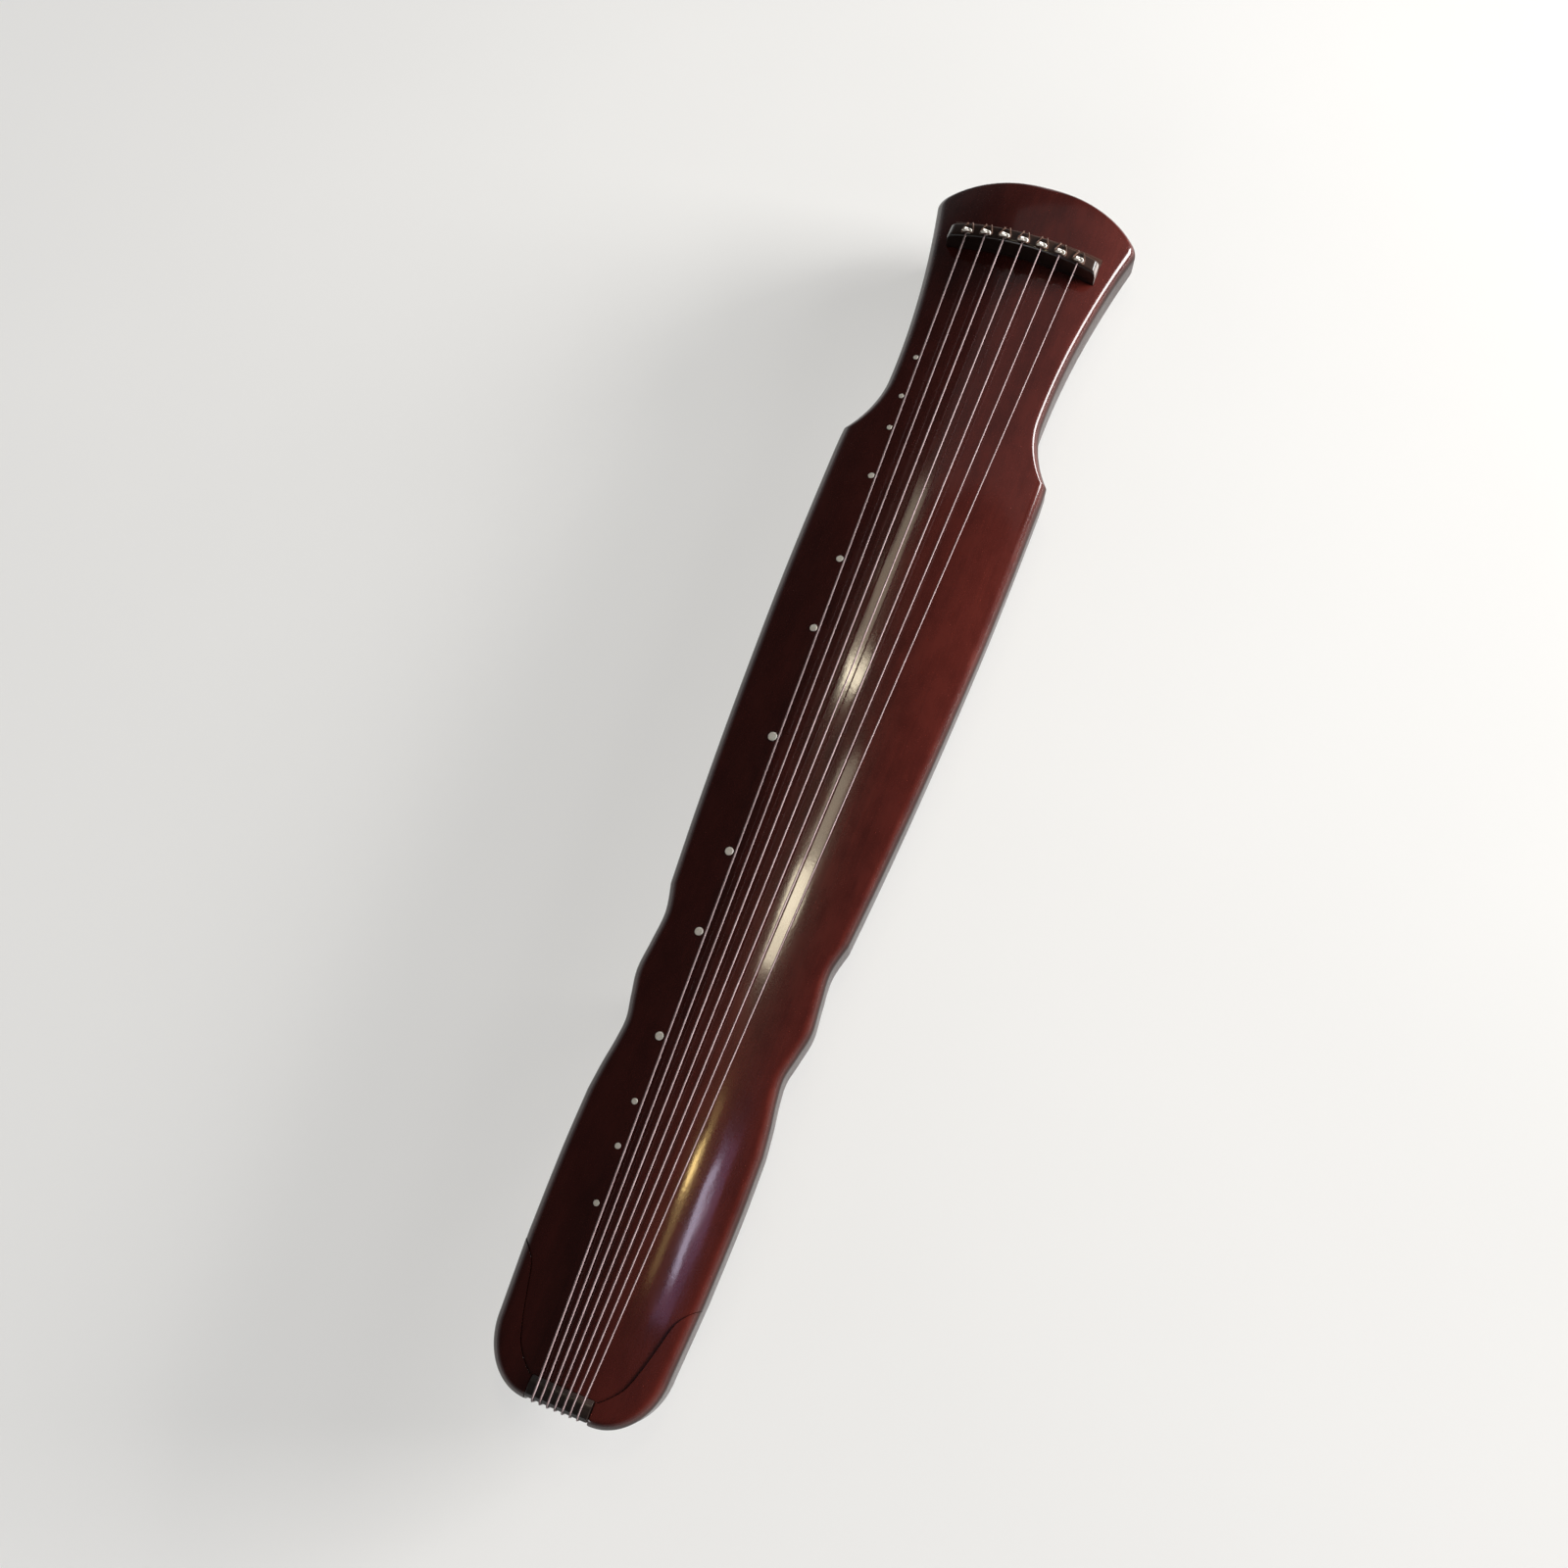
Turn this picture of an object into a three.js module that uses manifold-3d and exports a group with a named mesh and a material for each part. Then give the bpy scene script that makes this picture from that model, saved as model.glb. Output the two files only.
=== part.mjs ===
// A seven-string guqin in the rounded-forehead style, with its bridge, nut, pegs, cords and strings.
// Millimetres, +Z up, +X towards the head, +Y towards the thickest string and the thirteen studs.
import * as THREE from 'three';
import { mergeVertices } from 'three/addons/utils/BufferGeometryUtils.js';
import Module from 'manifold-3d';

const wasm = await Module();
wasm.setup();

// Driving dimensions: lengths measured along the strings from the bridge crest towards the tail
const stringLength = 1122;
const headReach = 101;
const tailReach = 12;

// Body widths, all half widths from the centre line
const headCornerHalf = 106;
const neckHalf = 78.5;
const shoulderHalf = 103;
const tailCornerHalf = 73;
const tailEndHalf = 28;
const foreheadDepth = 39.5;
const headCornerRound = 7;
const tailCornerLength = 52;

// Body heights and walls
const legHeight = 27;
const boardThickness = 10;
const shellHeight = 42;
const archRise = 18;
const foreheadFall = 5;
const tailFall = 2.5;
const topEdgeRadius = 9;
const bottomEdgeRadius = 4;
const topPlate = 12;
const sideWall = 16;
const hollowCornerDrop = 4;

// Fits and cuts
const fitGap = 0.3;
const overrun = 2;

// Strings, thickest first
const stringDiameters = [1.6, 1.45, 1.3, 1.15, 1.2, 1.05, 0.95];
const bridgeSpacing = 19.05;
const nutSpacing = 6.3;
const windingTurns = 3;
const windingGap = 0.45;
const stepsPerTurn = 23;
const stringSides = 6;
const cordSides = 5;
const footStrings = [{ side: 1, inner: [0, 1], outer: [3, 2] }, { side: -1, inner: [6, 5], outer: [4] }];

// Bridge and the strip before it
const bridgeHalf = 76.5;
const bridgeFront = 1.5;
const bridgeBack = 12.4;
const bridgeHeight = 21.5;
const bridgeArch = 13.3;
const bridgeFrontRound = 2.4;
const bridgeBackRound = 1.2;
const bridgeEndRound = 5;
const grooveDepth = 4;
const stripWidth = 18;
const stripProud = 1.5;
const cordHoleRadius = 2.8;
const channelRadius = 3.2;

// Knots and tuning cords: a cord's loop holds its string just past the bridge crest
const knotRadii = [2, 4.6, 2.2];
const cordDiameter = 1.7;
const cordStrandGap = 0.45;
const loopLead = 1.2;

// Tail nut, the support below it, and the crown corners
const nutHalf = 26;
const nutBack = 7;
const nutProud = 3;
const nutDepth = 8;
const nutCrestFall = 0.4;
const nutRound = 4;
const endRecess = 2.5;
const supportThickness = 12;
const supportHeight = 15;
const supportProud = 3;
const supportRound = 4;
const crownProud = 1.2;
const crownSeatDepth = 8;
const crownNutMargin = 1.2;

// Pegs, their pool and the guards beside it
const pegLength = 44.5;
const pegRadius = 6.5;
const pegBoreRadius = 2.5;
const pegBoreDepth = 12;
const pegPoints = 12;
const poolDepth = 22;
const poolHalfWidth = 13;
const poolEndMargin = 8;
const guardMargin = 4;
const guardHalfLength = 20;
const guardHalfThickness = 7;
const tenonDepth = 7;

// Goose feet
const footSpacing = 95;
const footWaistRadius = 8;
const footBaseRadius = 13;
const footFlangeRadius = 11.5;
const footFlange = 2.5;
const footBaseHeight = 5;
const footBaseRound = 1.3;
const footBaseBevel = 2;
const footFlangeBevel = 0.8;
const footTenonHalf = 7;
const footBlockMargin = 10;
const mortiseExtra = 8;

// Sound holes, sound posts, and the raised pads above the holes
const poolHoleLength = 215;
const poolHoleWidth = 27;
const pondHoleLength = 115;
const pondHoleWidth = 26;
const soundPadDrop = 7;
const soundPadMargin = 12;
const heavenPostRadius = 7.5;
const earthPostHalf = 6;

// Studs
const studDiameter = 9;
const studDepth = 1.6;
const studProud = 0.25;
const studOffset = 7;
const studSides = 10;

// Phoenix tongue under the forehead
const tongueHalf = 15;
const tongueDepth = 9;
const tongueThickness = 7;
const tongueSetback = 0.9;
const tongueTaper = 1.5;
const tongueNicheMargin = 7;
const tongueNicheHeight = 17;

// Places along the string length
const neckShare = 0.147;
const neckFlankShare = 0.054;
const shoulderShare = 0.204;
const poolHoleShare = 0.375;
const pondHoleShare = 0.825;
const footShare = 0.715;
const heavenPostShare = 0.226;
const earthPostShare = 0.631;
const hollowShares = [0.062, 0.925];
const studShares = [1 / 8, 1 / 6, 1 / 5, 1 / 4, 1 / 3, 2 / 5, 1 / 2, 3 / 5, 2 / 3, 3 / 4, 4 / 5, 5 / 6, 7 / 8];
const studSizeShares = [0.6, 0.6, 0.62, 0.72, 0.78, 0.84, 1, 0.9, 0.88, 0.86, 0.62, 0.61, 0.6];

// Shapes of the outline: shares of the string length, and of the shoulder's half width
const foreheadBulgeShare = 1.066;
const flankShares = [[0.235, 1.005], [0.35, 0.985], [0.47, 0.928], [0.566, 0.862], [0.6357, 0.8]];
const waistShares = [[0.6357, 0.8], [0.659, 0.742], [0.684, 0.757], [0.707, 0.776], [0.727, 0.736],
  [0.745, 0.695], [0.762, 0.706], [0.782, 0.738], [0.803, 0.762]];
const tailFlankShares = [[0.803, 0.762], [0.85, 0.765], [0.91, 0.747]];
const fanShare = 0.35;
// Inner edge of a crown corner: distance before the tail's end and half width, in shares of its corner
const crownEdgeShares = [[2.1, 1.09], [1.95, 0.95], [1.75, 0.85], [1.4, 0.78], [1, 0.7], [0.65, 0.6],
  [0.38, 0.42]];

// Sections: where each row of points lies, in shares of its length or radius
const archShares = [0, 0.4, 0.75, 1];
const edgeTurnShares = [1 / 3, 2 / 3, 1];
const hollowWidthShares = [1, 1, 0.86, 0.45];
// Peg: distance below its seat, radius, and depth of the flutes
const pegShares = [[0, 0.92, 0], [0.06, 0.92, 0], [0.12, 0.72, 0], [0.36, 0.72, 0], [0.42, 1, 0],
  [0.5, 1, 0.16], [0.9, 0.86, 0.16], [1, 0.62, 0]];
// Guard: height, half length and half thickness
const guardShares = [[1, 1, 1], [0.8, 0.86, 0.9], [0.4, 0.68, 0.8], [0.1, 0.64, 0.82], [0, 0.6, 0.76]];
// Cord strand on the bridge: distance from the middle of its string, from the bridge's back edge to the knot
const strandOutShares = [0.42, 0.46, 0.52, 0.82];
// Half of a cord's loop: distance from the knot's middle to the loop's front, out, and climb over the string
const loopShares = [[0, 1, 0], [0.6, 0.85, 0], [0.93, 0.45, 0.75], [1, 0, 1]];

// Derived places and heights
const totalLength = headReach + stringLength + tailReach;
const bridgeX = totalLength / 2 - headReach;
const tailU = stringLength + tailReach;
const tailFaceU = tailU - endRecess;
const jointZ = legHeight + boardThickness;
const crownZ = jointZ + shellHeight;
const stripBack = bridgeBack + fitGap + stripWidth;
const cordHoleU = -(bridgeBack + fitGap + stripWidth / 2);
const poolCeilingZ = legHeight + poolDepth;
const pegTopZ = poolCeilingZ - fitGap;
const stringCount = stringDiameters.length;
const poolHalfLength = bridgeSpacing * (stringCount - 1) / 2 + pegRadius + poolEndMargin;
const guardY = poolHalfLength + guardMargin + guardHalfThickness;
const supportBottomZ = legHeight - supportProud;
const cordRadius = cordDiameter / 2;
const hollowFromU = hollowShares[0] * stringLength;
const hollowToU = hollowShares[1] * stringLength;
const footU = footShare * stringLength;
const footY = footSpacing / 2;
const headCornerU = foreheadDepth - headReach;
const knotU = loopLead - cordDiameter - fitGap - knotRadii[0];
const soundHoles = [[poolHoleShare, poolHoleLength, poolHoleWidth],
  [pondHoleShare, pondHoleLength, pondHoleWidth]];

const fullTurn = 2 * Math.PI;
const quarterTurn = Math.PI / 2;
const archSteps = 12;
const hollowSteps = 26;
const footSides = 16;

function steps(count) {
  return Array.from({ length: count + 1 }, (unused, index) => index / count);
}

function mix(from, to, share) {
  return from + (to - from) * share;
}

// A point at distance u behind the bridge crest
function at(u, y, z) {
  return new THREE.Vector3(bridgeX - u, y, z);
}

// Closed surfaces and solids

function signedVolume(points, faces) {
  return faces.reduce((sum, [a, b, c]) => {
    const normal = new THREE.Vector3().crossVectors(points[b], points[c]);
    return sum + points[a].dot(normal) / 6;
  }, 0);
}

function surface(points, faces) {
  const turned = signedVolume(points, faces) < 0 ? faces.map(([a, b, c]) => [a, c, b]) : faces;
  const geometry = new THREE.BufferGeometry().setFromPoints(points);
  geometry.setIndex(turned.flat());
  return mergeVertices(geometry);
}

// Joins rings of equal count into one closed body, each end closed about its middle
function loft(rings) {
  const sides = rings[0].length;
  const points = rings.flat();
  const faces = [];
  for (let row = 0; row < rings.length - 1; row++) {
    for (let side = 0; side < sides; side++) {
      const a = row * sides + side;
      const b = row * sides + (side + 1) % sides;
      faces.push([a, b, b + sides], [a, b + sides, a + sides]);
    }
  }
  const middle = (ring) => ring.reduce((sum, point) => sum.add(point), new THREE.Vector3())
    .divideScalar(sides);
  const last = (rings.length - 1) * sides;
  points.push(middle(rings[0]), middle(rings[rings.length - 1]));
  for (let side = 0; side < sides; side++) {
    const next = (side + 1) % sides;
    faces.push([points.length - 2, next, side], [points.length - 1, last + side, last + next]);
  }
  return surface(points, faces);
}

function solidOf(geometry) {
  const bare = geometry.clone();
  bare.deleteAttribute('normal');
  bare.deleteAttribute('uv');
  const merged = mergeVertices(bare);
  return new wasm.Manifold(new wasm.Mesh({
    numProp: 3,
    vertProperties: new Float32Array(merged.attributes.position.array),
    triVerts: new Uint32Array(merged.index.array),
  }));
}

function geometryOf(solid) {
  const mesh = solid.getMesh();
  const geometry = new THREE.BufferGeometry();
  geometry.setAttribute('position', new THREE.BufferAttribute(mesh.vertProperties, 3));
  geometry.setIndex(new THREE.BufferAttribute(mesh.triVerts, 1));
  return geometry;
}

function cutAway(solid, tools) {
  return tools.reduce((rest, tool) => rest.subtract(tool), solid);
}

function boxSolid(uFrom, uTo, yFrom, yTo, zFrom, zTo) {
  const box = new THREE.BoxGeometry(uTo - uFrom, yTo - yFrom, zTo - zFrom);
  const middle = at((uFrom + uTo) / 2, (yFrom + yTo) / 2, (zFrom + zTo) / 2);
  return solidOf(box.translate(middle.x, middle.y, middle.z));
}

function rodSolid(u, y, radius, zFrom, zTo, sides) {
  const rod = new THREE.CylinderGeometry(radius, radius, zTo - zFrom, sides).rotateX(quarterTurn);
  const middle = at(u, y, (zFrom + zTo) / 2);
  return solidOf(rod.translate(middle.x, middle.y, middle.z));
}

// An upright slot with round corners, long along X or Y
function slotSolid(u, y, halfX, halfY, cornerRadius, zFrom, zTo) {
  const shape = new THREE.Shape();
  const corners = [[1, 1], [-1, 1], [-1, -1], [1, -1]];
  corners.forEach(([sideX, sideY], index) => {
    const from = index * quarterTurn;
    shape.absarc(sideX * (halfX - cornerRadius), sideY * (halfY - cornerRadius), cornerRadius, from,
      from + quarterTurn, false);
  });
  shape.closePath();
  const extent = { depth: zTo - zFrom, bevelEnabled: false, curveSegments: 3 };
  const slot = new THREE.ExtrudeGeometry(shape, extent);
  const base = at(u, y, zFrom);
  return solidOf(slot.translate(base.x, base.y, base.z));
}

// Outline of one side of the body, from the middle of the forehead to the middle of the tail

function foreheadArc() {
  const ellipseHalf = headCornerHalf * foreheadBulgeShare;
  const endAngle = Math.asin(headCornerHalf / ellipseHalf);
  const ellipseDepth = foreheadDepth / (1 - Math.cos(endAngle));
  return steps(9).map((share) => {
    const angle = share * endAngle;
    const u = -headReach + ellipseDepth * (1 - Math.cos(angle));
    return new THREE.Vector2(u, ellipseHalf * Math.sin(angle));
  });
}

// Rounds the corner where one run of points ends and the next one starts
function roundedCorner(before, corner, after) {
  const towards = (point) => point.clone().sub(corner).setLength(headCornerRound).add(corner);
  return new THREE.QuadraticBezierCurve(towards(before), corner, towards(after)).getPoints(3);
}

function neckFlank() {
  const corner = new THREE.Vector2(headCornerU, headCornerHalf);
  const control = new THREE.Vector2(neckFlankShare * stringLength, neckHalf);
  const neck = new THREE.Vector2(neckShare * stringLength, neckHalf);
  return new THREE.QuadraticBezierCurve(corner, control, neck).getPoints(6);
}

// The crescent: an arc that leaves the neck level and ends in the pointed shoulder
function crescent() {
  const run = (shoulderShare - neckShare) * stringLength;
  const rise = shoulderHalf - neckHalf;
  const radius = (run * run + rise * rise) / (2 * rise);
  const endAngle = Math.asin(run / radius);
  return steps(6).map((share) => {
    const angle = share * endAngle;
    const u = neckShare * stringLength + radius * Math.sin(angle);
    return new THREE.Vector2(u, neckHalf + radius * (1 - Math.cos(angle)));
  });
}

function sharedCurve(shares, count, before) {
  const places = shares.map(([along, out]) => new THREE.Vector2(along * stringLength, out * shoulderHalf));
  return new THREE.SplineCurve(before ? [before, ...places] : places).getPoints(count);
}

function tailCorner() {
  const startU = tailU - tailCornerLength;
  const corner = steps(5).map((share) => {
    const angle = share * quarterTurn;
    const y = tailEndHalf + (tailCornerHalf - tailEndHalf) * Math.cos(angle);
    return new THREE.Vector2(startU + tailCornerLength * Math.sin(angle), y);
  });
  const end = steps(2).slice(1).map((share) => new THREE.Vector2(tailU, tailEndHalf * (1 - share)));
  return [...corner, ...end];
}

function bodyOutline() {
  const shoulder = new THREE.Vector2(shoulderShare * stringLength, shoulderHalf);
  const tailStart = new THREE.Vector2(tailU - tailCornerLength, tailCornerHalf);
  const tailFlank = sharedCurve(tailFlankShares, 3);
  const [corner, ...flank] = neckFlank();
  const forehead = foreheadArc().slice(0, -1);
  const head = [...forehead, ...roundedCorner(forehead[forehead.length - 1], corner, flank[0]), ...flank];
  const parts = [crescent(), sharedCurve(flankShares, 7, shoulder), sharedCurve(waistShares, 13),
    [...tailFlank, tailStart], tailCorner()];
  return [...head, ...parts.flatMap((part) => part.slice(1))];
}

const outline = bodyOutline();
const endPoints = [0, outline.length - 1];

function halfAt(u) {
  const after = outline.findIndex((point) => point.x > u);
  const from = outline[after - 1];
  const to = outline[after];
  return mix(from.y, to.y, (u - from.x) / (to.x - from.x));
}

// Where the rib of an outline point starts on the centre line: ribs fan out at the head and the tail
function ribStart(point) {
  const tailCornerU = tailU - tailCornerLength;
  if (point.x < headCornerU) return headCornerU + (point.x - headCornerU) * fanShare;
  if (point.x < tailCornerU) return point.x;
  return tailCornerU + (point.x - tailCornerU + Math.max(tailEndHalf - point.y, 0)) * fanShare;
}

// Height of the arched face
function faceZ(u, y) {
  const headShare = Math.max(0, -u / headReach);
  const tailShare = Math.max(0, (u - hollowToU) / (tailU - hollowToU));
  const crown = crownZ - foreheadFall * headShare * headShare - tailFall * tailShare * tailShare;
  return crown - archRise * (y / shoulderHalf) ** 2;
}

// A plate of the body's outline: each rib's profile runs from the centre line out to the edge and back
function bodyPlate(profile) {
  const rows = outline.map((point, index) => {
    const start = ribStart(point);
    const reach = Math.hypot(point.x - start, point.y);
    const onRib = (inset) => [mix(point.x, start, inset / reach), mix(point.y, 0, inset / reach)];
    const row = profile(reach, onRib);
    return endPoints.includes(index) ? row.map(([u, , z]) => [u, 0, z]) : row;
  });
  const width = rows[0].length;
  const points = [];
  const faces = [];
  for (const side of [1, -1]) {
    const base = points.length;
    rows.flat().forEach(([u, y, z]) => points.push(at(u, side * y, z)));
    for (let row = 0; row < rows.length - 1; row++) {
      for (let place = 0; place < width - 1; place++) {
        const a = base + row * width + place;
        const quad = side > 0 ? [a, a + 1, a + width + 1, a + width] : [a, a + width, a + width + 1, a + 1];
        faces.push([quad[0], quad[1], quad[2]], [quad[0], quad[2], quad[3]]);
      }
    }
  }
  return solidOf(surface(points, faces));
}

// The arched upper plate; raise lifts its face and keeps its outline
function archedPlate(raise) {
  return bodyPlate((reach, onRib) => {
    const flat = reach - topEdgeRadius;
    const row = archShares.map((share) => {
      const [u, y] = onRib(reach - share * flat);
      return [u, y, faceZ(u, y) + raise];
    });
    for (const share of edgeTurnShares) {
      const angle = share * quarterTurn;
      const [u, y] = onRib(topEdgeRadius * (1 - Math.sin(angle)));
      row.push([u, y, faceZ(u, y) + raise - topEdgeRadius * (1 - Math.cos(angle))]);
    }
    row.push([...onRib(0), jointZ], [...onRib(reach), jointZ]);
    return row;
  });
}

function flatPlate() {
  return bodyPlate((reach, onRib) => {
    const row = [[...onRib(reach), jointZ], [...onRib(0), jointZ]];
    for (const share of steps(2)) {
      const angle = share * quarterTurn;
      const inset = bottomEdgeRadius * (1 - Math.cos(angle));
      row.push([...onRib(inset), legHeight + bottomEdgeRadius * (1 - Math.sin(angle))]);
    }
    row.push([...onRib(reach), legHeight]);
    return row;
  });
}

function evenly(half, count) {
  return steps(count).map((share) => mix(-half, half, share));
}

// A bar across the body through given places along y, where its section may change
function barAcross(places, section) {
  return loft(places.map((y) => section(y).map(([u, z]) => at(u, y, z))));
}

function grooveAcross(half, uFrom, uTo) {
  return solidOf(barAcross(evenly(half, archSteps), (y) => {
    const bottom = faceZ(0, y) - grooveDepth;
    const top = crownZ + bridgeHeight;
    return [[uFrom, bottom], [uTo, bottom], [uTo, top], [uFrom, top]];
  }));
}

// Places that repeat for each string

function bridgeY(index) {
  return bridgeSpacing * ((stringCount - 1) / 2 - index);
}

function nutY(index) {
  return nutSpacing * ((stringCount - 1) / 2 - index);
}

function bridgeTopZ(y) {
  return crownZ + bridgeHeight - bridgeArch * (y / bridgeHalf) ** 2;
}

function nutTopZ() {
  return faceZ(stringLength, 0) + nutProud;
}

// The hollow inside the upper plate, with pads left above the sound holes and blocks left at the feet

function soundPad(share, length, width) {
  const u = share * stringLength;
  const halfX = length / 2 + soundPadMargin;
  const halfY = width / 2 + soundPadMargin;
  return slotSolid(u, 0, halfX, halfY, soundPadMargin, crownZ - topPlate - soundPadDrop, crownZ);
}

function footBlock(side) {
  const inner = side * (footY - footTenonHalf - footBlockMargin);
  const outer = side * shoulderHalf;
  const half = footTenonHalf + footBlockMargin;
  const low = Math.min(inner, outer);
  return boxSolid(footU - half, footU + half, low, low + Math.abs(outer - inner), legHeight, crownZ);
}

function hollow() {
  const rings = steps(hollowSteps).map((share) => {
    const u = mix(hollowFromU, hollowToU, share);
    const half = halfAt(u) - sideWall;
    const ceiling = (y) => faceZ(u, y) - topPlate;
    const right = hollowWidthShares.map((out) => [out * half, ceiling(out * half)]);
    right[0][1] = jointZ - overrun;
    right[1][1] -= hollowCornerDrop;
    const left = right.map(([y, z]) => [-y, z]).reverse();
    return [...right, [0, ceiling(0)], ...left].map(([y, z]) => at(u, y, z));
  });
  const pads = soundHoles.map(([share, length, width]) => soundPad(share, length, width));
  return cutAway(solidOf(loft(rings)), [...pads, footBlock(1), footBlock(-1)]);
}

// Cuts that both plates share

function pegPool() {
  const round = poolHalfWidth / 2;
  return slotSolid(cordHoleU, 0, poolHalfWidth, poolHalfLength, round, legHeight - overrun, poolCeilingZ);
}

function tailNotch() {
  const half = nutHalf + fitGap;
  return boxSolid(tailFaceU - fitGap, tailU + overrun, -half, half, legHeight - overrun, crownZ + overrun);
}

function supportSeat() {
  const half = nutHalf + fitGap;
  const from = tailFaceU - supportThickness - fitGap;
  const top = legHeight + supportHeight + fitGap;
  return boxSolid(from, tailU + overrun, -half, half, legHeight - overrun, top);
}

function footMortise(side) {
  const half = footTenonHalf + fitGap;
  const y = side * footY;
  const top = jointZ + mortiseExtra + fitGap;
  return boxSolid(footU - half, footU + half, y - half, y + half, legHeight - overrun, top);
}

function guardMortise(side) {
  const half = guardHalfThickness / 2 + fitGap;
  const length = guardHalfLength / 2 + fitGap;
  const y = side * guardY;
  const top = legHeight + tenonDepth + fitGap;
  return boxSolid(cordHoleU - length, cordHoleU + length, y - half, y + half, legHeight - overrun, top);
}

function tongueNiche() {
  const half = tongueHalf + tongueNicheMargin;
  const deep = headReach / 2;
  const u = tongueDepth + fitGap - headReach - deep;
  return slotSolid(u, 0, deep, half, tongueNicheMargin, jointZ, jointZ + tongueNicheHeight);
}

// Region of one crown corner, seen from above; gap moves its inner edge off the corner piece
function crownRegion(side, gap) {
  const cornerU = tailCornerLength;
  const edge = crownEdgeShares.map(([before, out]) => new THREE.Vector2(tailU - before * cornerU - gap,
    out * tailCornerHalf - gap));
  const nutSide = nutHalf + crownNutMargin - gap;
  const besideNut = new THREE.Vector2(stringLength - nutBack - gap, nutSide);
  const inner = new THREE.SplineCurve([...edge, besideNut]).getPoints(10);
  const outer = [[tailU + overrun, nutSide], [tailU + overrun, shoulderHalf], [inner[0].x, shoulderHalf]];
  const places = [...inner.map((point) => [point.x, point.y]), ...outer];
  const shape = new THREE.Shape(places.map(([u, y]) => new THREE.Vector2(bridgeX - u, side * y)));
  const seatZ = faceZ(tailU, tailCornerHalf) - crownSeatDepth - gap;
  const prism = new THREE.ExtrudeGeometry(shape, { depth: crownZ + overrun - seatZ, bevelEnabled: false });
  return solidOf(prism.translate(0, 0, seatZ));
}

// Studs follow the outside of the thickest string

function studPlace(index) {
  const share = studShares[index];
  const u = share * stringLength;
  const y = mix(bridgeY(0), nutY(0), share) + stringDiameters[0] / 2 + studOffset;
  const tilt = -Math.atan(2 * archRise * y / shoulderHalf ** 2);
  return { u, y, tilt, radius: studDiameter * studSizeShares[index] / 2 };
}

function studGeometry(place, radius, from, to) {
  const disc = new THREE.CylinderGeometry(radius, radius, to - from, studSides).rotateX(quarterTurn);
  disc.translate(0, 0, (from + to) / 2).rotateX(place.tilt);
  const centre = at(place.u, place.y, faceZ(place.u, place.y));
  return disc.translate(centre.x, centre.y, centre.z);
}

// Body pieces

function makeTopBoard() {
  const half = bridgeHalf + fitGap;
  const channels = stringDiameters.map((diameter, index) => rodSolid(cordHoleU, bridgeY(index), channelRadius,
    poolCeilingZ - overrun, crownZ + overrun, 8));
  const pockets = studShares.map((share, index) => {
    const place = studPlace(index);
    return solidOf(studGeometry(place, place.radius + fitGap, -studDepth - fitGap, overrun));
  });
  const nutSeat = boxSolid(stringLength - nutBack - fitGap, tailU + overrun, -nutHalf - fitGap,
    nutHalf + fitGap, nutTopZ() - nutProud - nutDepth - fitGap, crownZ + overrun);
  return cutAway(archedPlate(0), [hollow(), pegPool(), tailNotch(), supportSeat(), footMortise(1),
    footMortise(-1), tongueNiche(), crownRegion(1, fitGap), crownRegion(-1, fitGap), nutSeat, ...channels,
    ...pockets, grooveAcross(half, -stripBack - fitGap, bridgeFront + fitGap)]);
}

function makeBottomBoard() {
  const cuts = soundHoles.map(([share, length, width]) => slotSolid(share * stringLength, 0, length / 2,
    width / 2, width / 4, legHeight - overrun, jointZ + overrun));
  return cutAway(flatPlate(), [...cuts, pegPool(), tailNotch(), supportSeat(), footMortise(1),
    footMortise(-1), guardMortise(1), guardMortise(-1)]);
}

function makeCrown(side) {
  return archedPlate(crownProud).intersect(crownRegion(side, 0));
}

function roundPost(u, from, to) {
  return rodSolid(u, 0, heavenPostRadius, from, to, 16);
}

function squarePost(u, from, to) {
  return boxSolid(u - earthPostHalf, u + earthPostHalf, -earthPostHalf, earthPostHalf, from, to);
}

// A post stands on the flat plate, its top shaped to the hollow's ceiling
function makePost(share, shape) {
  return shape(share * stringLength, jointZ, crownZ).intersect(hollow().translate([0, 0, -fitGap]));
}

// Fittings

// How far the bridge's rounded end falls below its arch at y
function bridgeEndDrop(y) {
  const out = Math.max(0, Math.abs(y) - bridgeHalf + bridgeEndRound);
  return bridgeEndRound - Math.sqrt(Math.max(0, bridgeEndRound ** 2 - out ** 2));
}

function makeBridge() {
  const corner = bridgeHalf - bridgeEndRound;
  const middle = evenly(corner, archSteps);
  const end = edgeTurnShares.map((share) => corner + bridgeEndRound * Math.sin(share * quarterTurn));
  const places = [...end.map((y) => -y).reverse(), ...middle, ...end];
  return barAcross(places, (y) => {
    const bottom = faceZ(0, y) - grooveDepth + fitGap;
    const top = bridgeTopZ(y) - bridgeEndDrop(y);
    const round = bridgeFrontRound;
    const back = bridgeBackRound;
    return [[-bridgeBack, bottom], [bridgeFront, bottom], [bridgeFront, top - round],
      [bridgeFront - round / 3, top - round / 3], [bridgeFront - round, top],
      [back - bridgeBack, top], [back / 3 - bridgeBack, top - back / 3], [-bridgeBack, top - back]];
  });
}

function makeStrip() {
  const bar = solidOf(barAcross(evenly(bridgeHalf, archSteps), (y) => {
    const bottom = faceZ(0, y) - grooveDepth + fitGap;
    const top = faceZ(-stripBack, y) + stripProud;
    const from = -stripBack;
    const to = -bridgeBack - 2 * fitGap;
    return [[from, bottom], [to, bottom], [to, top], [from + stripProud, top], [from, top - stripProud]];
  }));
  const cordHoles = stringDiameters.map((diameter, index) => rodSolid(cordHoleU, bridgeY(index),
    cordHoleRadius, jointZ, crownZ + overrun, 8));
  return geometryOf(cutAway(bar, cordHoles));
}

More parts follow.
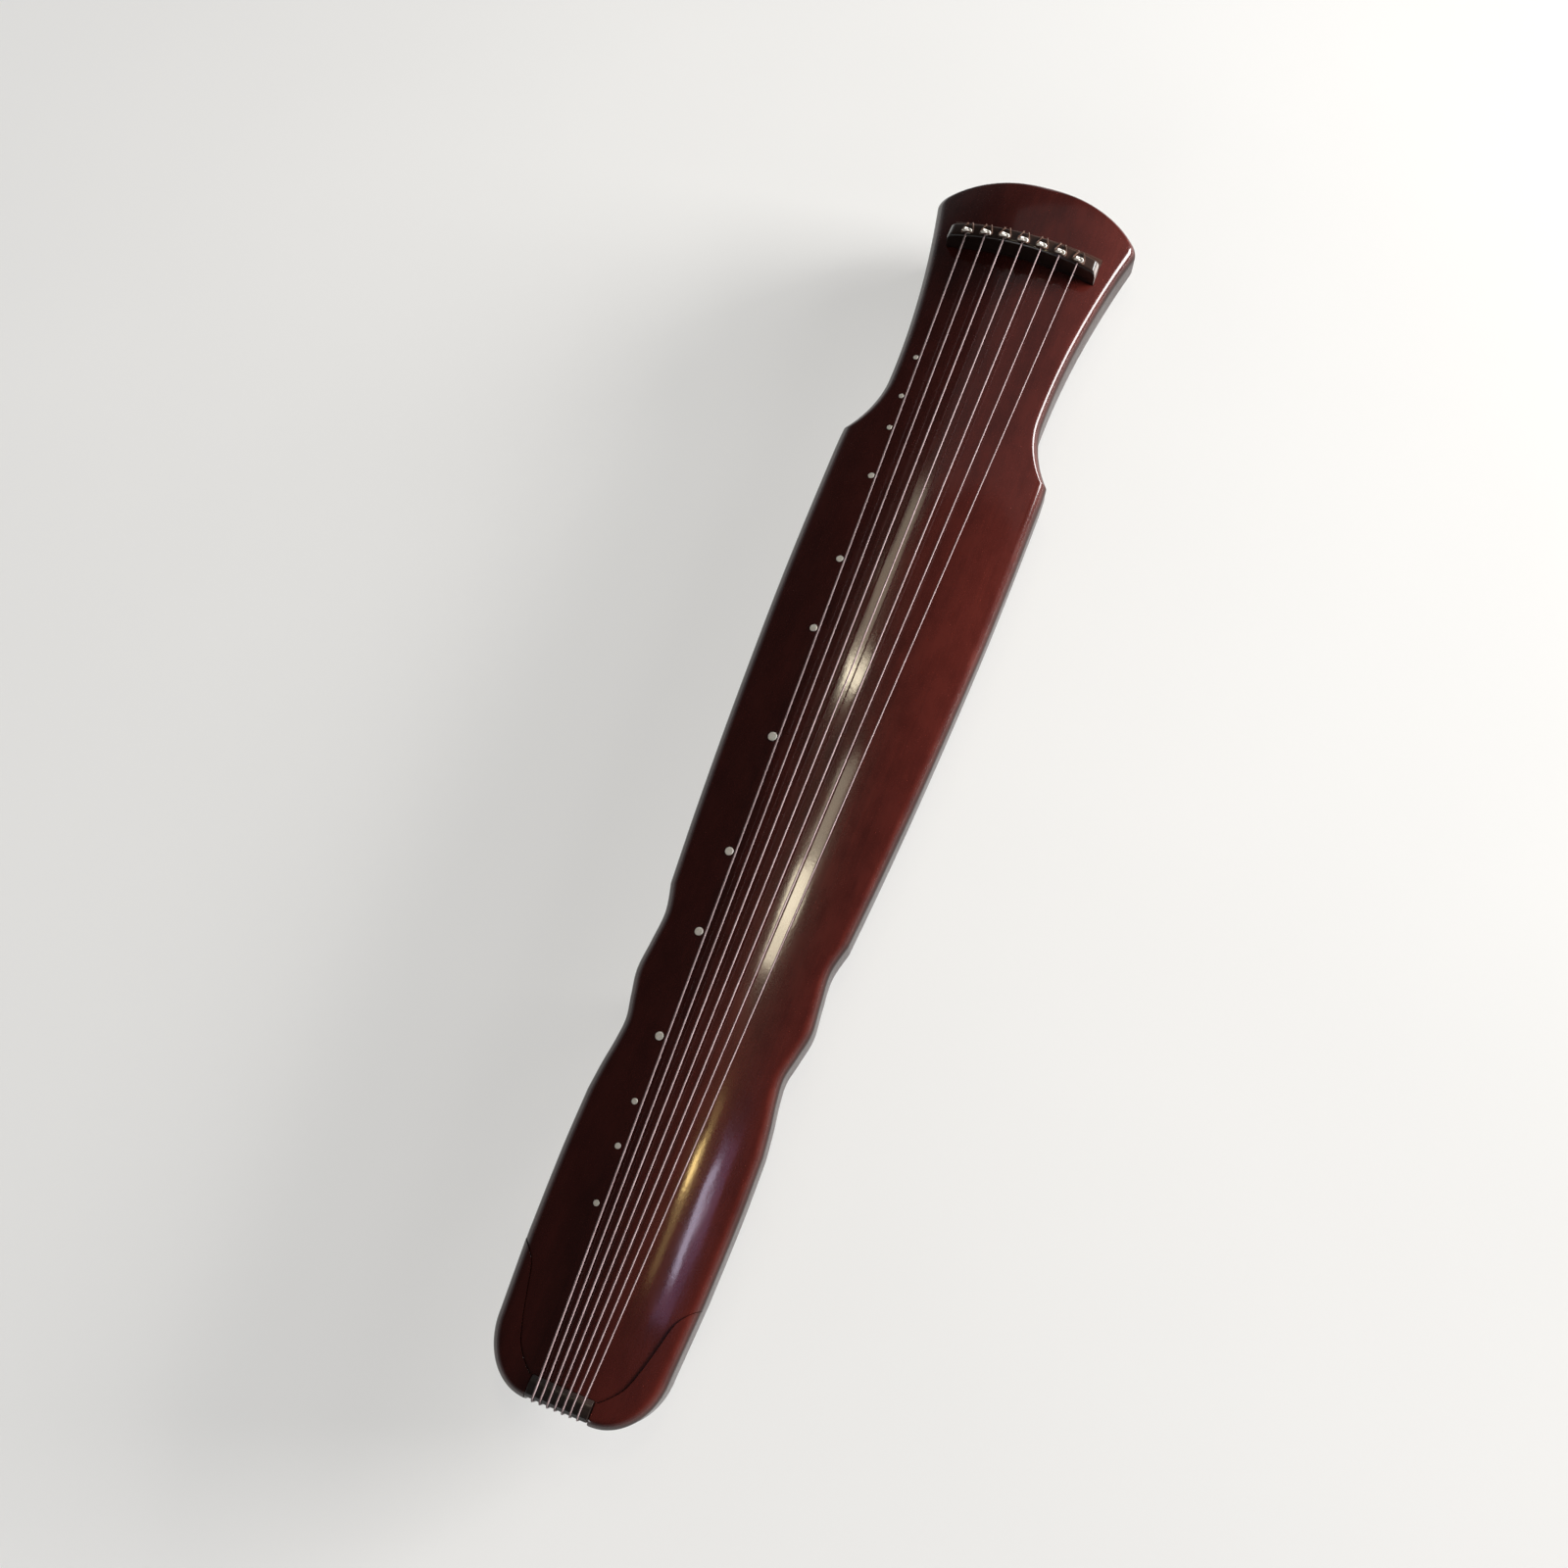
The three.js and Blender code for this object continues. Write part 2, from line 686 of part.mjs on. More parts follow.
function nutCorner() {
  return { u: tailFaceU - nutRound, z: nutTopZ() - nutCrestFall - nutRound };
}

function makeNut() {
  const { u, z } = nutCorner();
  const bottom = nutTopZ() - nutProud - nutDepth;
  const round = steps(3).map((share) => [u + nutRound * Math.sin(share * quarterTurn),
    z + nutRound * Math.cos(share * quarterTurn)]);
  return barAcross(evenly(nutHalf, 1), () => [[stringLength - nutBack, bottom],
    [stringLength - nutBack, nutTopZ() - nutProud], [stringLength - nutBack / 2, nutTopZ() - nutCrestFall],
    [stringLength, nutTopZ()], ...round, [tailFaceU, bottom]]);
}

function makeSupport() {
  const top = legHeight + supportHeight;
  const from = tailFaceU - supportThickness;
  const u = tailFaceU - supportRound;
  const z = supportBottomZ + supportRound;
  const round = steps(3).map((share) => [u + supportRound * Math.cos(share * quarterTurn),
    z - supportRound * Math.sin(share * quarterTurn)]);
  return barAcross(evenly(nutHalf, 1), () => [[from, top], [tailFaceU, top], ...round,
    [from + supportRound / 2, supportBottomZ], [from, supportBottomZ + supportRound / 2]]);
}

function roundRing(u, y, z, radiusOf) {
  return Array.from({ length: pegPoints }, (unused, index) => {
    const angle = index / pegPoints * fullTurn;
    const radius = radiusOf(index);
    return at(u + radius * Math.cos(angle), y + radius * Math.sin(angle), z);
  });
}

// A peg about its own axis, its top at zero: bore, seat, neck, collar and fluted grip
function makePeg() {
  const turned = pegShares.map(([below, out, flute]) => [-pegLength * below, pegRadius * out, flute]);
  const rings = [[-pegBoreDepth, pegBoreRadius, 0], [0, pegBoreRadius, 0], ...turned];
  return loft(rings.map(([z, radius, flute]) => roundRing(bridgeX, 0, z,
    (index) => radius * (index % 2 === 0 ? 1 : 1 - flute))));
}

function makeGuard(side) {
  const y = side * guardY;
  const body = loft(guardShares.map(([height, long, thick]) => {
    const halfX = guardHalfLength * long;
    const halfY = guardHalfThickness * thick;
    return Array.from({ length: pegPoints }, (unused, index) => {
      const angle = index / pegPoints * fullTurn;
      return at(cordHoleU + halfX * Math.cos(angle), y + halfY * Math.sign(Math.sin(angle))
        * Math.sqrt(Math.abs(Math.sin(angle))), (legHeight - fitGap) * height);
    });
  }));
  const half = guardHalfThickness / 2;
  const tenon = boxSolid(cordHoleU - guardHalfLength / 2, cordHoleU + guardHalfLength / 2, y - half, y + half,
    legHeight - overrun, legHeight + tenonDepth);
  return geometryOf(solidOf(body).add(tenon));
}

function makeFoot(side) {
  const top = legHeight - fitGap;
  const waist = footWaistRadius;
  const profile = [[0, 0], [footBaseRadius - footBaseRound, 0], [footBaseRadius, footBaseRound],
    [footBaseRadius, footBaseHeight - footBaseBevel], [waist, footBaseHeight],
    [waist, top - footFlange - footFlangeBevel], [footFlangeRadius, top - footFlange],
    [footFlangeRadius, top], [0, top]].map(([radius, z]) => new THREE.Vector2(radius, z));
  const turned = new THREE.LatheGeometry(profile, footSides);
  const centre = at(footU, side * footY, 0);
  turned.rotateX(quarterTurn).translate(centre.x, centre.y, centre.z);
  const tenon = boxSolid(footU - footTenonHalf, footU + footTenonHalf, side * footY - footTenonHalf,
    side * footY + footTenonHalf, top - overrun, jointZ + mortiseExtra);
  return geometryOf(solidOf(turned).add(tenon));
}

function makeTongue() {
  const shape = new THREE.Shape();
  const root = bridgeX + headReach - tongueDepth;
  const tip = bridgeX + headReach - tongueSetback;
  const bend = tongueHalf - tongueTaper;
  shape.moveTo(root, -tongueHalf);
  shape.quadraticCurveTo(tip, -bend, tip, 0);
  shape.quadraticCurveTo(tip, bend, root, tongueHalf);
  shape.closePath();
  const extent = { depth: tongueThickness, bevelEnabled: false, curveSegments: 6 };
  return new THREE.ExtrudeGeometry(shape, extent).translate(0, 0, jointZ);
}

// A tube of flat-sided rings through given points, each ring carried along without twist
function tube(points, radius, sides) {
  const direction = (index) => {
    const before = points[Math.max(index - 1, 0)];
    const after = points[Math.min(index + 1, points.length - 1)];
    return new THREE.Vector3().subVectors(after, before).normalize();
  };
  let across = new THREE.Vector3(0, 1, 0);
  return loft(points.map((point, index) => {
    const ahead = direction(index);
    across = across.clone().addScaledVector(ahead, -across.dot(ahead)).normalize();
    const up = new THREE.Vector3().crossVectors(ahead, across);
    return Array.from({ length: sides }, (unused, side) => {
      const angle = side / sides * fullTurn;
      return point.clone().addScaledVector(across, radius * Math.cos(angle))
        .addScaledVector(up, radius * Math.sin(angle));
    });
  }));
}

// Least gap between turns of one tube, measured between its points
function leastSelfGap(points, diameter) {
  let least = Infinity;
  const lengths = [0];
  for (let index = 1; index < points.length; index++) {
    lengths.push(lengths[index - 1] + points[index].distanceTo(points[index - 1]));
  }
  points.forEach((point, index) => {
    for (let other = index + 1; other < points.length; other++) {
      const apart = point.distanceTo(points[other]);
      if (lengths[other] - lengths[index] > 3 * Math.max(apart, diameter)) least = Math.min(least, apart);
    }
  });
  return least - diameter;
}

// How a string is wound on its foot: the inner pair from the waist's top and bottom, the others over them
function windingPlan(index) {
  const foot = footStrings.find(({ inner, outer }) => [...inner, ...outer].includes(index));
  const thickest = Math.max(...foot.inner.map((place) => stringDiameters[place]));
  const diameter = stringDiameters[index];
  const pitch = diameter + windingGap;
  const waistTop = legHeight - fitGap - footFlange - windingGap - stringDiameters[0];
  const radius = footWaistRadius + fitGap + diameter / 2;
  const plan = { side: foot.side, radius, startZ: waistTop, rise: -pitch };
  if (index === foot.inner[0]) return plan;
  const waistBottom = footBaseHeight + fitGap + diameter / 2;
  if (index === foot.inner[1]) return { ...plan, startZ: waistBottom, rise: pitch };
  const above = foot.outer.slice(0, foot.outer.indexOf(index));
  const bandOf = (place) => (windingTurns + 1) * (stringDiameters[place] + windingGap);
  const taken = above.reduce((sum, place) => sum + bandOf(place), 0);
  const drop = (stringDiameters[foot.inner[0]] + diameter) / 2 + windingGap + taken;
  return { ...plan, radius: plan.radius + thickest + windingGap, startZ: waistTop - drop };
}

// A string from its knot over the bridge and the nut, under the tail and round its foot
function stringRoute(index) {
  const radius = stringDiameters[index] / 2;
  const fromY = bridgeY(index);
  const toY = nutY(index);
  const crestZ = bridgeTopZ(fromY) + fitGap + radius;
  const nutZ = nutTopZ() + fitGap + radius;
  const points = [at(knotU, fromY, crestZ), at(0, fromY, crestZ)];
  steps(5).slice(1).forEach((share) => {
    points.push(at(share * stringLength, mix(fromY, toY, share), mix(crestZ, nutZ, share)));
  });
  const corner = nutCorner();
  const overNut = nutRound + fitGap + radius;
  steps(3).forEach((share) => {
    const angle = share * quarterTurn;
    points.push(at(corner.u + overNut * Math.sin(angle), toY, corner.z + overNut * Math.cos(angle)));
  });
  const underTail = supportRound + fitGap + radius;
  steps(3).forEach((share) => {
    const angle = share * quarterTurn;
    points.push(at(tailFaceU - supportRound + underTail * Math.cos(angle), toY,
      supportBottomZ + supportRound - underTail * Math.sin(angle)));
  });
  const plan = windingPlan(index);
  points.push(...windingPoints(plan, stringDiameters[index]));
  return points;
}

function windingPoints(plan, diameter) {
  const count = windingTurns * stepsPerTurn;
  const turn = (angle) => at(footU - plan.radius * Math.sin(angle),
    plan.side * (footY - plan.radius * Math.cos(angle)), plan.startZ + plan.rise * angle / fullTurn);
  const turns = steps(count).map((share) => turn(share * windingTurns * fullTurn));
  const end = turns[count].clone().add(new THREE.Vector3(diameter, 0, 0));
  return [...turns, end];
}

function makeString(index) {
  const route = stringRoute(index);
  const knot = new THREE.SphereGeometry(1, 8, 6).scale(...knotRadii);
  const y = bridgeY(index);
  const centre = at(knotU, y, bridgeTopZ(y) + fitGap + knotRadii[2]);
  knot.translate(centre.x, centre.y, centre.z);
  const line = solidOf(tube(route, stringDiameters[index] / 2, stringSides));
  const gap = leastSelfGap(route, stringDiameters[index]);
  console.log(`string_${index + 1}: least gap to itself ${gap.toFixed(2)} mm`);
  return geometryOf(line.add(solidOf(knot)));
}

// One strand of a tuning cord, from inside its peg up to the middle of its loop over the string
function cordStrand(index, side) {
  const y = bridgeY(index);
  const strandY = cordRadius + cordStrandGap / 2;
  const loopY = knotRadii[1] + fitGap + cordRadius;
  const rest = fitGap + cordRadius;
  const around = bridgeBackRound + rest;
  const cornerU = bridgeBackRound - bridgeBack;
  const over = rest + stringDiameters[index] + fitGap;
  const loopU = knotU + knotRadii[0] + rest;
  const inHead = [[cordHoleU, pegTopZ - pegBoreDepth + cordDiameter], [cordHoleU, pegTopZ],
    [cordHoleU, faceZ(cordHoleU, y) + stripProud - cordDiameter],
    [cordHoleU + cordRadius / 2, faceZ(cordHoleU, y) + stripProud + cordRadius]];
  const diagonal = around * Math.SQRT1_2;
  const climb = [[cornerU - around, -around], [cornerU - diagonal, diagonal - bridgeBackRound],
    [cornerU, rest], [(cornerU + knotU) / 2, rest]];
  const onBridge = [...climb.map(([u, lift], row) => [u, loopY * strandOutShares[row], lift]),
    ...loopShares.map(([along, out, up]) => [mix(knotU, loopU, along), loopY * out, mix(rest, over, up)])];
  return [...inHead.map(([u, z]) => at(u, y + side * strandY, z)),
    ...onBridge.map(([u, out, lift]) => at(u, y + side * out, bridgeTopZ(y + side * out) + lift))];
}

function makeCord(index) {
  const up = cordStrand(index, 1);
  const down = cordStrand(index, -1).reverse().slice(1);
  const bends = new THREE.CatmullRomCurve3([...up.slice(3), ...down.slice(0, -3)], false, 'centripetal');
  return tube([...up.slice(0, 3), ...bends.getPoints(24), ...down.slice(-3)], cordRadius, cordSides);
}

// Finishes

const finishes = {
  lacquer: { color: 0x3a120f, roughness: 0.22, metalness: 0 },
  rosewood: { color: 0x1d0f0c, roughness: 0.35, metalness: 0 },
  innerWood: { color: 0x9a7650, roughness: 0.8, metalness: 0 },
  shell: { color: 0xe8e2d2, roughness: 0.3, metalness: 0 },
  string: { color: 0xb9a8a2, roughness: 0.4, metalness: 0 },
  cord: { color: 0x3b2016, roughness: 0.9, metalness: 0 },
};

const guqin = new THREE.Group();

function addPiece(name, shape, finish) {
  const geometry = shape instanceof wasm.Manifold ? geometryOf(shape) : shape;
  const mesh = new THREE.Mesh(geometry, new THREE.MeshStandardMaterial(finishes[finish]));
  mesh.name = name;
  guqin.add(mesh);
  return mesh;
}

addPiece('top_board', makeTopBoard(), 'lacquer');
addPiece('bottom_board', makeBottomBoard(), 'lacquer');
addPiece('crown_corner_left', makeCrown(1), 'lacquer');
addPiece('crown_corner_right', makeCrown(-1), 'lacquer');
addPiece('heaven_post', makePost(heavenPostShare, roundPost), 'innerWood');
addPiece('earth_post', makePost(earthPostShare, squarePost), 'innerWood');
addPiece('phoenix_tongue', makeTongue(), 'lacquer');
addPiece('bridge', makeBridge(), 'rosewood');
addPiece('cord_strip', makeStrip(), 'rosewood');
addPiece('tail_nut', makeNut(), 'rosewood');
addPiece('nut_support', makeSupport(), 'rosewood');
[['left', 1], ['right', -1]].forEach(([name, side]) => {
  addPiece(`peg_guard_${name}`, makeGuard(side), 'rosewood');
  addPiece(`goose_foot_${name}`, makeFoot(side), 'rosewood');
});

studShares.forEach((share, index) => {
  const place = studPlace(index);
  addPiece(`stud_${index + 1}`, studGeometry(place, place.radius, -studDepth, studProud), 'shell');
});

stringDiameters.forEach((diameter, index) => {
  const peg = addPiece(`peg_${index + 1}`, makePeg(), 'rosewood');
  peg.position.copy(at(cordHoleU, bridgeY(index), pegTopZ));
  addPiece(`tuning_cord_${index + 1}`, makeCord(index), 'cord');
  addPiece(`string_${index + 1}`, makeString(index), 'string');
});

export default guqin;
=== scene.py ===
import math

import bmesh
import bpy
import numpy as np
from mathutils import Matrix, Vector


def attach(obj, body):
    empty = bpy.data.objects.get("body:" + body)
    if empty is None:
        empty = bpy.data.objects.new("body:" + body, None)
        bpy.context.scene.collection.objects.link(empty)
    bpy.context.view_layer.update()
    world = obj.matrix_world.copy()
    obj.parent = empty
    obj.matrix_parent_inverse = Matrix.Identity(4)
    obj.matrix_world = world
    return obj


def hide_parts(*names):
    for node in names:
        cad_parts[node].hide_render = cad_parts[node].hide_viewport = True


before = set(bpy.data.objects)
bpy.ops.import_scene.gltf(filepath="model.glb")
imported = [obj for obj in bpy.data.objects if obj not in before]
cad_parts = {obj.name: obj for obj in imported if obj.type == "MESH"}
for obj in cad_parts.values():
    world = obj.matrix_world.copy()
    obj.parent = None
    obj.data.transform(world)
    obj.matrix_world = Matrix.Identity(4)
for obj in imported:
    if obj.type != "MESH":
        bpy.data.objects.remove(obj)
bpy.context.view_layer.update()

# Lengths are in millimetres until a mesh is made. u runs from the bridge crest towards the tail.
MM = 0.001
TURN = 2 * math.pi
GAP = 0.3
OVER = 2  # how far a cut reaches past what it cuts

# Outline: how far it reaches past both ends of the strings, its half widths and its corners
STRING_LENGTH = 1122
HEAD_REACH = 101
TAIL_REACH = 12
BRIDGE_X = (HEAD_REACH + STRING_LENGTH + TAIL_REACH) / 2 - HEAD_REACH
TAIL_U = STRING_LENGTH + TAIL_REACH
HEAD_HALF = 106
NECK_HALF = 78.5
SHOULDER_HALF = 103
TAIL_HALF = 73
TAIL_END_HALF = 28
FOREHEAD_DEPTH = 39.5
FOREHEAD_FLATNESS = 1.066
HEAD_ROUND = 7
TAIL_CORNER = 52
HEAD_CORNER_U = FOREHEAD_DEPTH - HEAD_REACH
NECK_BEND_U = 0.054 * STRING_LENGTH
NECK_U = 0.147 * STRING_LENGTH
SHOULDER_U = 0.204 * STRING_LENGTH
# Points of the flank, as shares of the string length and of the shoulders' half width
FLANK = ((0.235, 1.005), (0.35, 0.985), (0.47, 0.928), (0.566, 0.862), (0.6357, 0.8))
WAIST = ((0.6357, 0.8), (0.659, 0.742), (0.684, 0.757), (0.707, 0.776), (0.727, 0.736), (0.745, 0.695),
         (0.762, 0.706), (0.782, 0.738), (0.803, 0.762))
TAIL_FLANK = ((0.803, 0.762), (0.85, 0.765), (0.91, 0.747))

# Boards
LEG_HEIGHT = 27
JOINT_Z = 37
CROWN_Z = 79
ARCH_RISE = 18
FOREHEAD_FALL = 5
TAIL_FALL = 2.5
TOP_RADIUS = 9
BOTTOM_RADIUS = 4
TOP_PLATE = 12
SIDE_WALL = 16
RIB_LEAN = 0.35
HOLLOW_U = (0.062 * STRING_LENGTH, 0.925 * STRING_LENGTH)
CEILING_SHARES = (1, 1, 0.93, 0.86, 0.65, 0.45, 0.22)
CEILING_CORNER = 4
SOUND_HOLES = ((0.375, 215, 27), (0.825, 115, 26))  # share of the string length, length, width
HOLE_FLARE = 1.0
PAD_MARGIN = 12
PAD_DROP = 19
NICHE_DEPTH = 9
NICHE_HALF = 22
NICHE_CORNER = 7
NICHE_HEIGHT = 17
BODY_CREASE = 28

# Crown corners, with their inner edge as shares of the tail corner's length and the tail's half width
CROWN_EDGE = ((2.1, 1.09), (1.95, 0.95), (1.75, 0.85), (1.4, 0.78), (1, 0.7), (0.65, 0.6), (0.38, 0.42))
CROWN_PROUD = 1.2
CROWN_DEPTH = 8
CROWN_NUT_GAP = 1.2
CROWN_BEVEL = 0.5

# Strings and the bridge; the visual strings are a little thicker than the solid ones
STRING_DIAMETERS = (1.6, 1.45, 1.3, 1.15, 1.2, 1.05, 0.95)
STRING_EXTRA = (0.08, 0.08, 0.19, 0.19, 0.19, 0.17, 0.17)
STRINGS = len(STRING_DIAMETERS)
MIDDLE_STRING = (STRINGS - 1) / 2
STRING_SIDES = 14
WRAP_PITCH = 0.42
BRIDGE_SPACING = 19.05
NUT_SPACING = 6.3
BRIDGE_HALF = 76.5
BRIDGE_FRONT = 1.5
BRIDGE_BACK = 12.4
BRIDGE_HEIGHT = 21.5
BRIDGE_ARCH = 13.3
FRONT_ROUND = 2.4
BACK_ROUND = 1.2
END_ROUND = 5
GROOVE_DEPTH = 4
GROOVE_PLACES = 61

# Cord strip, tuning cords and knots
STRIP_BACK = BRIDGE_BACK + GAP + 18
STRIP_PROUD = 1.5
STRIP_ROUND = 1.1
CORD_U = -(BRIDGE_BACK + GAP + 9)
CORD_BORE = 3.2
CORD_HOLE = 2.8
CORD_HOLE_FLARE = 0.9
CORD_RADIUS = 0.85
STRAND_GAP = 0.225
CORD_STEP = 0.42
PLY_RADIUS = 0.42
PLY_OFFSET = 0.43
PLY_PITCH = 4.6
KNOT_RADII = (2, 4.6, 2.2)  # of the solid knot, which the cord loops round
KNOT_U = 1.2 - 2 * CORD_RADIUS - GAP - KNOT_RADII[0]
TIED_RADII = (2.8, 5.5, 2.2)
TIED_FORWARD = 0.8
TIED_CORE = (2.2, 4.6, 1.7)
TIED_THREAD = 0.95
TIED_LOBE = 0.45

# Nut and the support under it
NUT_HALF = 26
NUT_BACK = 7
NUT_PROUD = 3
NUT_DEPTH = 8
NUT_ROUND = 4
NUT_DROP = 0.4
NUT_EASE = 0.6
TAIL_FACE_U = TAIL_U - 2.5
SUPPORT_THICKNESS = 12
SUPPORT_HEIGHT = 15
SUPPORT_BOTTOM = 24
SUPPORT_ROUND = 4
SUPPORT_HEEL = 2

# Pegs, guards and feet
PEG_LENGTH = 44.5
PEG_RADIUS = 6.5
PEG_BORE = 2.5
PEG_BORE_DEPTH = 12
PEG_FLUTES = 6
POOL_CEILING = LEG_HEIGHT + 22
POOL_HALF = (13, 71.65)
POOL_FLARE = 1.2
PEG_TOP = POOL_CEILING - GAP
GUARD_Y = 82.65
GUARD_HALF = (20, 7)
GUARD_TENON = (10, 3.5, 7)
FOOT_U = 0.715 * STRING_LENGTH
FOOT_Y = 47.5
FOOT_TENON = 7
FOOT_TENON_TOP = JOINT_Z + 8
FOOT_BLOCK = FOOT_TENON + 10
FOOT_BASE = 5
FOOT_WAIST = 8
FOOT_COLLAR = 2.5
TURNS = 3
TURN_STEPS = 48
TURN_GAP = 0.45
# For each foot its side, the inner strings from the top and from the bottom, and those wound over them
FOOT_STRINGS = ((1, (0, 1), (3, 2)), (-1, (6, 5), (4,)))
ROUND_CREASE = 40
THREAD_CREASE = 60

# Studs
STUD_SHARES = (1 / 8, 1 / 6, 1 / 5, 1 / 4, 1 / 3, 2 / 5, 1 / 2, 3 / 5, 2 / 3, 3 / 4, 4 / 5, 5 / 6, 7 / 8)
STUD_DIAMETER = 8.4
STUD_SIZES = (0.6, 0.6, 0.62, 0.72, 0.78, 0.84, 1, 0.9, 0.88, 0.86, 0.62, 0.61, 0.6)
STUD_OFFSET = 7
STUD_CLEARANCE = 0.12
STUD_HOLE = 1.9
STUD_DEPTH = 1.6
STUD_PROUD = 0.25
STUD_EASE = 0.3

# Camera and floor
PHOTO_PIXELS = 1600
FOCAL_PIXELS = 1450
SENSOR = 36
CAMERA_AT = (-0.4540, -0.2019, 1.2420)
CAMERA_RIGHT = (0.3622, -0.9301, -0.0616)
CAMERA_DOWN = (-0.8831, -0.3212, -0.3419)
CAMERA_AHEAD = (0.2982, 0.1783, -0.9377)
FLOOR_HALF = 20000
FLOOR_LIFT = 0.5  # share of white that the camera sees in the floor

# Colours, the darker one first
LACQUER_FACE = ((0.028, 0.0048, 0.0038, 1), (0.062, 0.0098, 0.0070, 1))
# Painted shade: a near-black copy of the face colours, for the sides and the underside
LACQUER_SIDE_SHADE = ((0.006, 0.0026, 0.0022, 1), (0.015, 0.0050, 0.0040, 1))
# Partly wear, partly painted highlight: the lighter red along the rounded rim
LACQUER_RIM_WEAR_AND_SHEEN = (0.11, 0.025, 0.017, 1)
DARK_WOOD = ((0.008, 0.0048, 0.0042, 1), (0.021, 0.011, 0.0085, 1))
# Brown for the bridge's upward faces; its other faces stay near-black wood
BRIDGE_UPPER_BROWN = ((0.018, 0.0085, 0.006, 1), (0.032, 0.0145, 0.0095, 1))
# Painted highlight: the pale colour of the bridge's end faces
BRIDGE_END_HIGHLIGHT = (0.19, 0.17, 0.16, 1)
TURNED_WOOD = ((0.017, 0.0075, 0.0055, 1), (0.045, 0.02, 0.014, 1))
RED_WOOD = ((0.03, 0.012, 0.0085, 1), (0.07, 0.03, 0.02, 1))
BARE_WOOD = ((0.30, 0.17, 0.085, 1), (0.45, 0.29, 0.16, 1))
SHELL_WHITE = ((0.80, 0.76, 0.66, 1), (0.90, 0.88, 0.84, 1))
SHELL_PINK = (0.74, 0.66, 0.70, 1)
SHELL_GREEN = (0.66, 0.78, 0.72, 1)
STRING_SILVER = ((0.235, 0.166, 0.172, 1), (0.33, 0.257, 0.268, 1))
STRING_WRAP = (0.17, 0.11, 0.12, 1)
KNOT_SILK = ((0.74, 0.69, 0.63, 1), (0.93, 0.91, 0.87, 1))
CORD_SILK = ((0.032, 0.014, 0.009, 1), (0.12, 0.058, 0.036, 1))
FLOOR_GREY = ((0.78, 0.78, 0.77, 1), (0.83, 0.83, 0.82, 1))
FLOOR_WHITE = (0.98, 0.98, 0.97, 1)
ACROSS_GRAIN = (340, 9, 340)


# Meshes

def at(u, y, z):
    """Points in the frame's own axes, from u, y and z."""
    return np.stack(np.broadcast_arrays(BRIDGE_X - np.asarray(u, float), y, z), -1)


def make(name, points, faces, look=None, crease=35, along=None):
    """A smooth-shaded mesh object, crisp at edges sharper than crease degrees; along becomes an attribute."""
    mesh = bpy.data.meshes.new(name)
    mesh.from_pydata((np.asarray(points).reshape(-1, 3) * MM).tolist(), [], faces)
    if along is not None:
        run = mesh.attributes.new("along", "FLOAT", "POINT")
        run.data.foreach_set("value", np.asarray(along, np.float32))
    work = bmesh.new()
    work.from_mesh(mesh)
    bmesh.ops.remove_doubles(work, verts=work.verts, dist=1e-7)
    bmesh.ops.recalc_face_normals(work, faces=work.faces)
    work.to_mesh(mesh)
    work.free()
    piece = bpy.data.objects.new(name, mesh)
    bpy.context.scene.collection.objects.link(piece)
    if look:
        mesh.materials.append(look)
    shade(piece, crease)
    return piece


def shade(piece, crease):
    piece.data.shade_smooth()
    piece.data.set_sharp_from_angle(angle=math.radians(crease))


def loft(rings):
    """A closed shape through rings of as many points each."""
    rings = np.asarray(rings, float)
    rows, sides = rings.shape[:2]
    grid = np.arange(rows * sides).reshape(rows, sides)
    following = np.roll(grid, -1, axis=1)
    faces = np.stack([grid[:-1], following[:-1], following[1:], grid[1:]], -1).reshape(-1, 4).tolist()
    faces += [grid[0][::-1].tolist(), grid[-1].tolist()]
    return rings.reshape(-1, 3), faces


def together(parts):
    """Several (points, faces) as one."""
    points, faces = [], []
    for more_points, more_faces in parts:
        base = sum(len(block) for block in points)
        points.append(np.asarray(more_points))
        faces += [[base + corner for corner in face] for face in more_faces]
    return np.concatenate(points), faces


def box(u, y, z):
    corners = [(u[0], y[0]), (u[1], y[0]), (u[1], y[1]), (u[0], y[1])]
    return loft([[at(a, b, level) for a, b in corners] for level in z])


def post(u, y, half_u, half_y, z):
    """A box about an upright axis."""
    return box((u - half_u, u + half_u), (y - half_y, y + half_y), z)


def whole(steps):
    """Angles of a whole turn."""
    return np.linspace(0, TURN, steps, endpoint=False)


def quarter(steps):
    """Angles of a quarter turn."""
    return np.linspace(0, TURN / 4, steps)


def rounded(u, z, in_u, in_z, count):
    """Points that round a corner, from its upright side on; in_u and in_z lead inwards from the corner."""
    return [(u + in_u * (1 - math.cos(a)), z + in_z * (1 - math.sin(a))) for a in quarter(count)]


def turned(u, y, profile, sides):
    """A shape about an upright axis. profile gives (radius, z); a radius may be a row, one for each side."""
    angle = whole(sides)
    return loft([at(u + radius * np.cos(angle), y + radius * np.sin(angle), z) for radius, z in profile])


def slot_ring(half_x, half_y, corner):
    """A rectangle with round corners about the origin."""
    parts = []
    for index, (side_x, side_y) in enumerate(((1, 1), (-1, 1), (-1, -1), (1, -1))):
        around = quarter(9) + index * TURN / 4
        parts.append(np.stack([side_x * (half_x - corner) + corner * np.cos(around),
                               side_y * (half_y - corner) + corner * np.sin(around)], -1))
    return np.concatenate(parts)


def slot(u, y, half_x, half_y, corner, z, flare=0):
    """An upright slot; flare widens its lowest ring."""
    rings = []
    levels = [(z[0], flare), (z[0] + OVER + flare, 0), (z[1], 0)] if flare else [(z[0], 0), (z[1], 0)]
    for level, wider in levels:
        ring = slot_ring(half_x + wider, half_y + wider, corner + wider)
        rings.append(at(u - ring[:, 0], y + ring[:, 1], level))
    return loft(rings)


def across(places, section):
    """A bar across the body: section(y) gives its outline as (u, z)."""
    return loft([[at(u, y, z) for u, z in section(y)] for y in places])


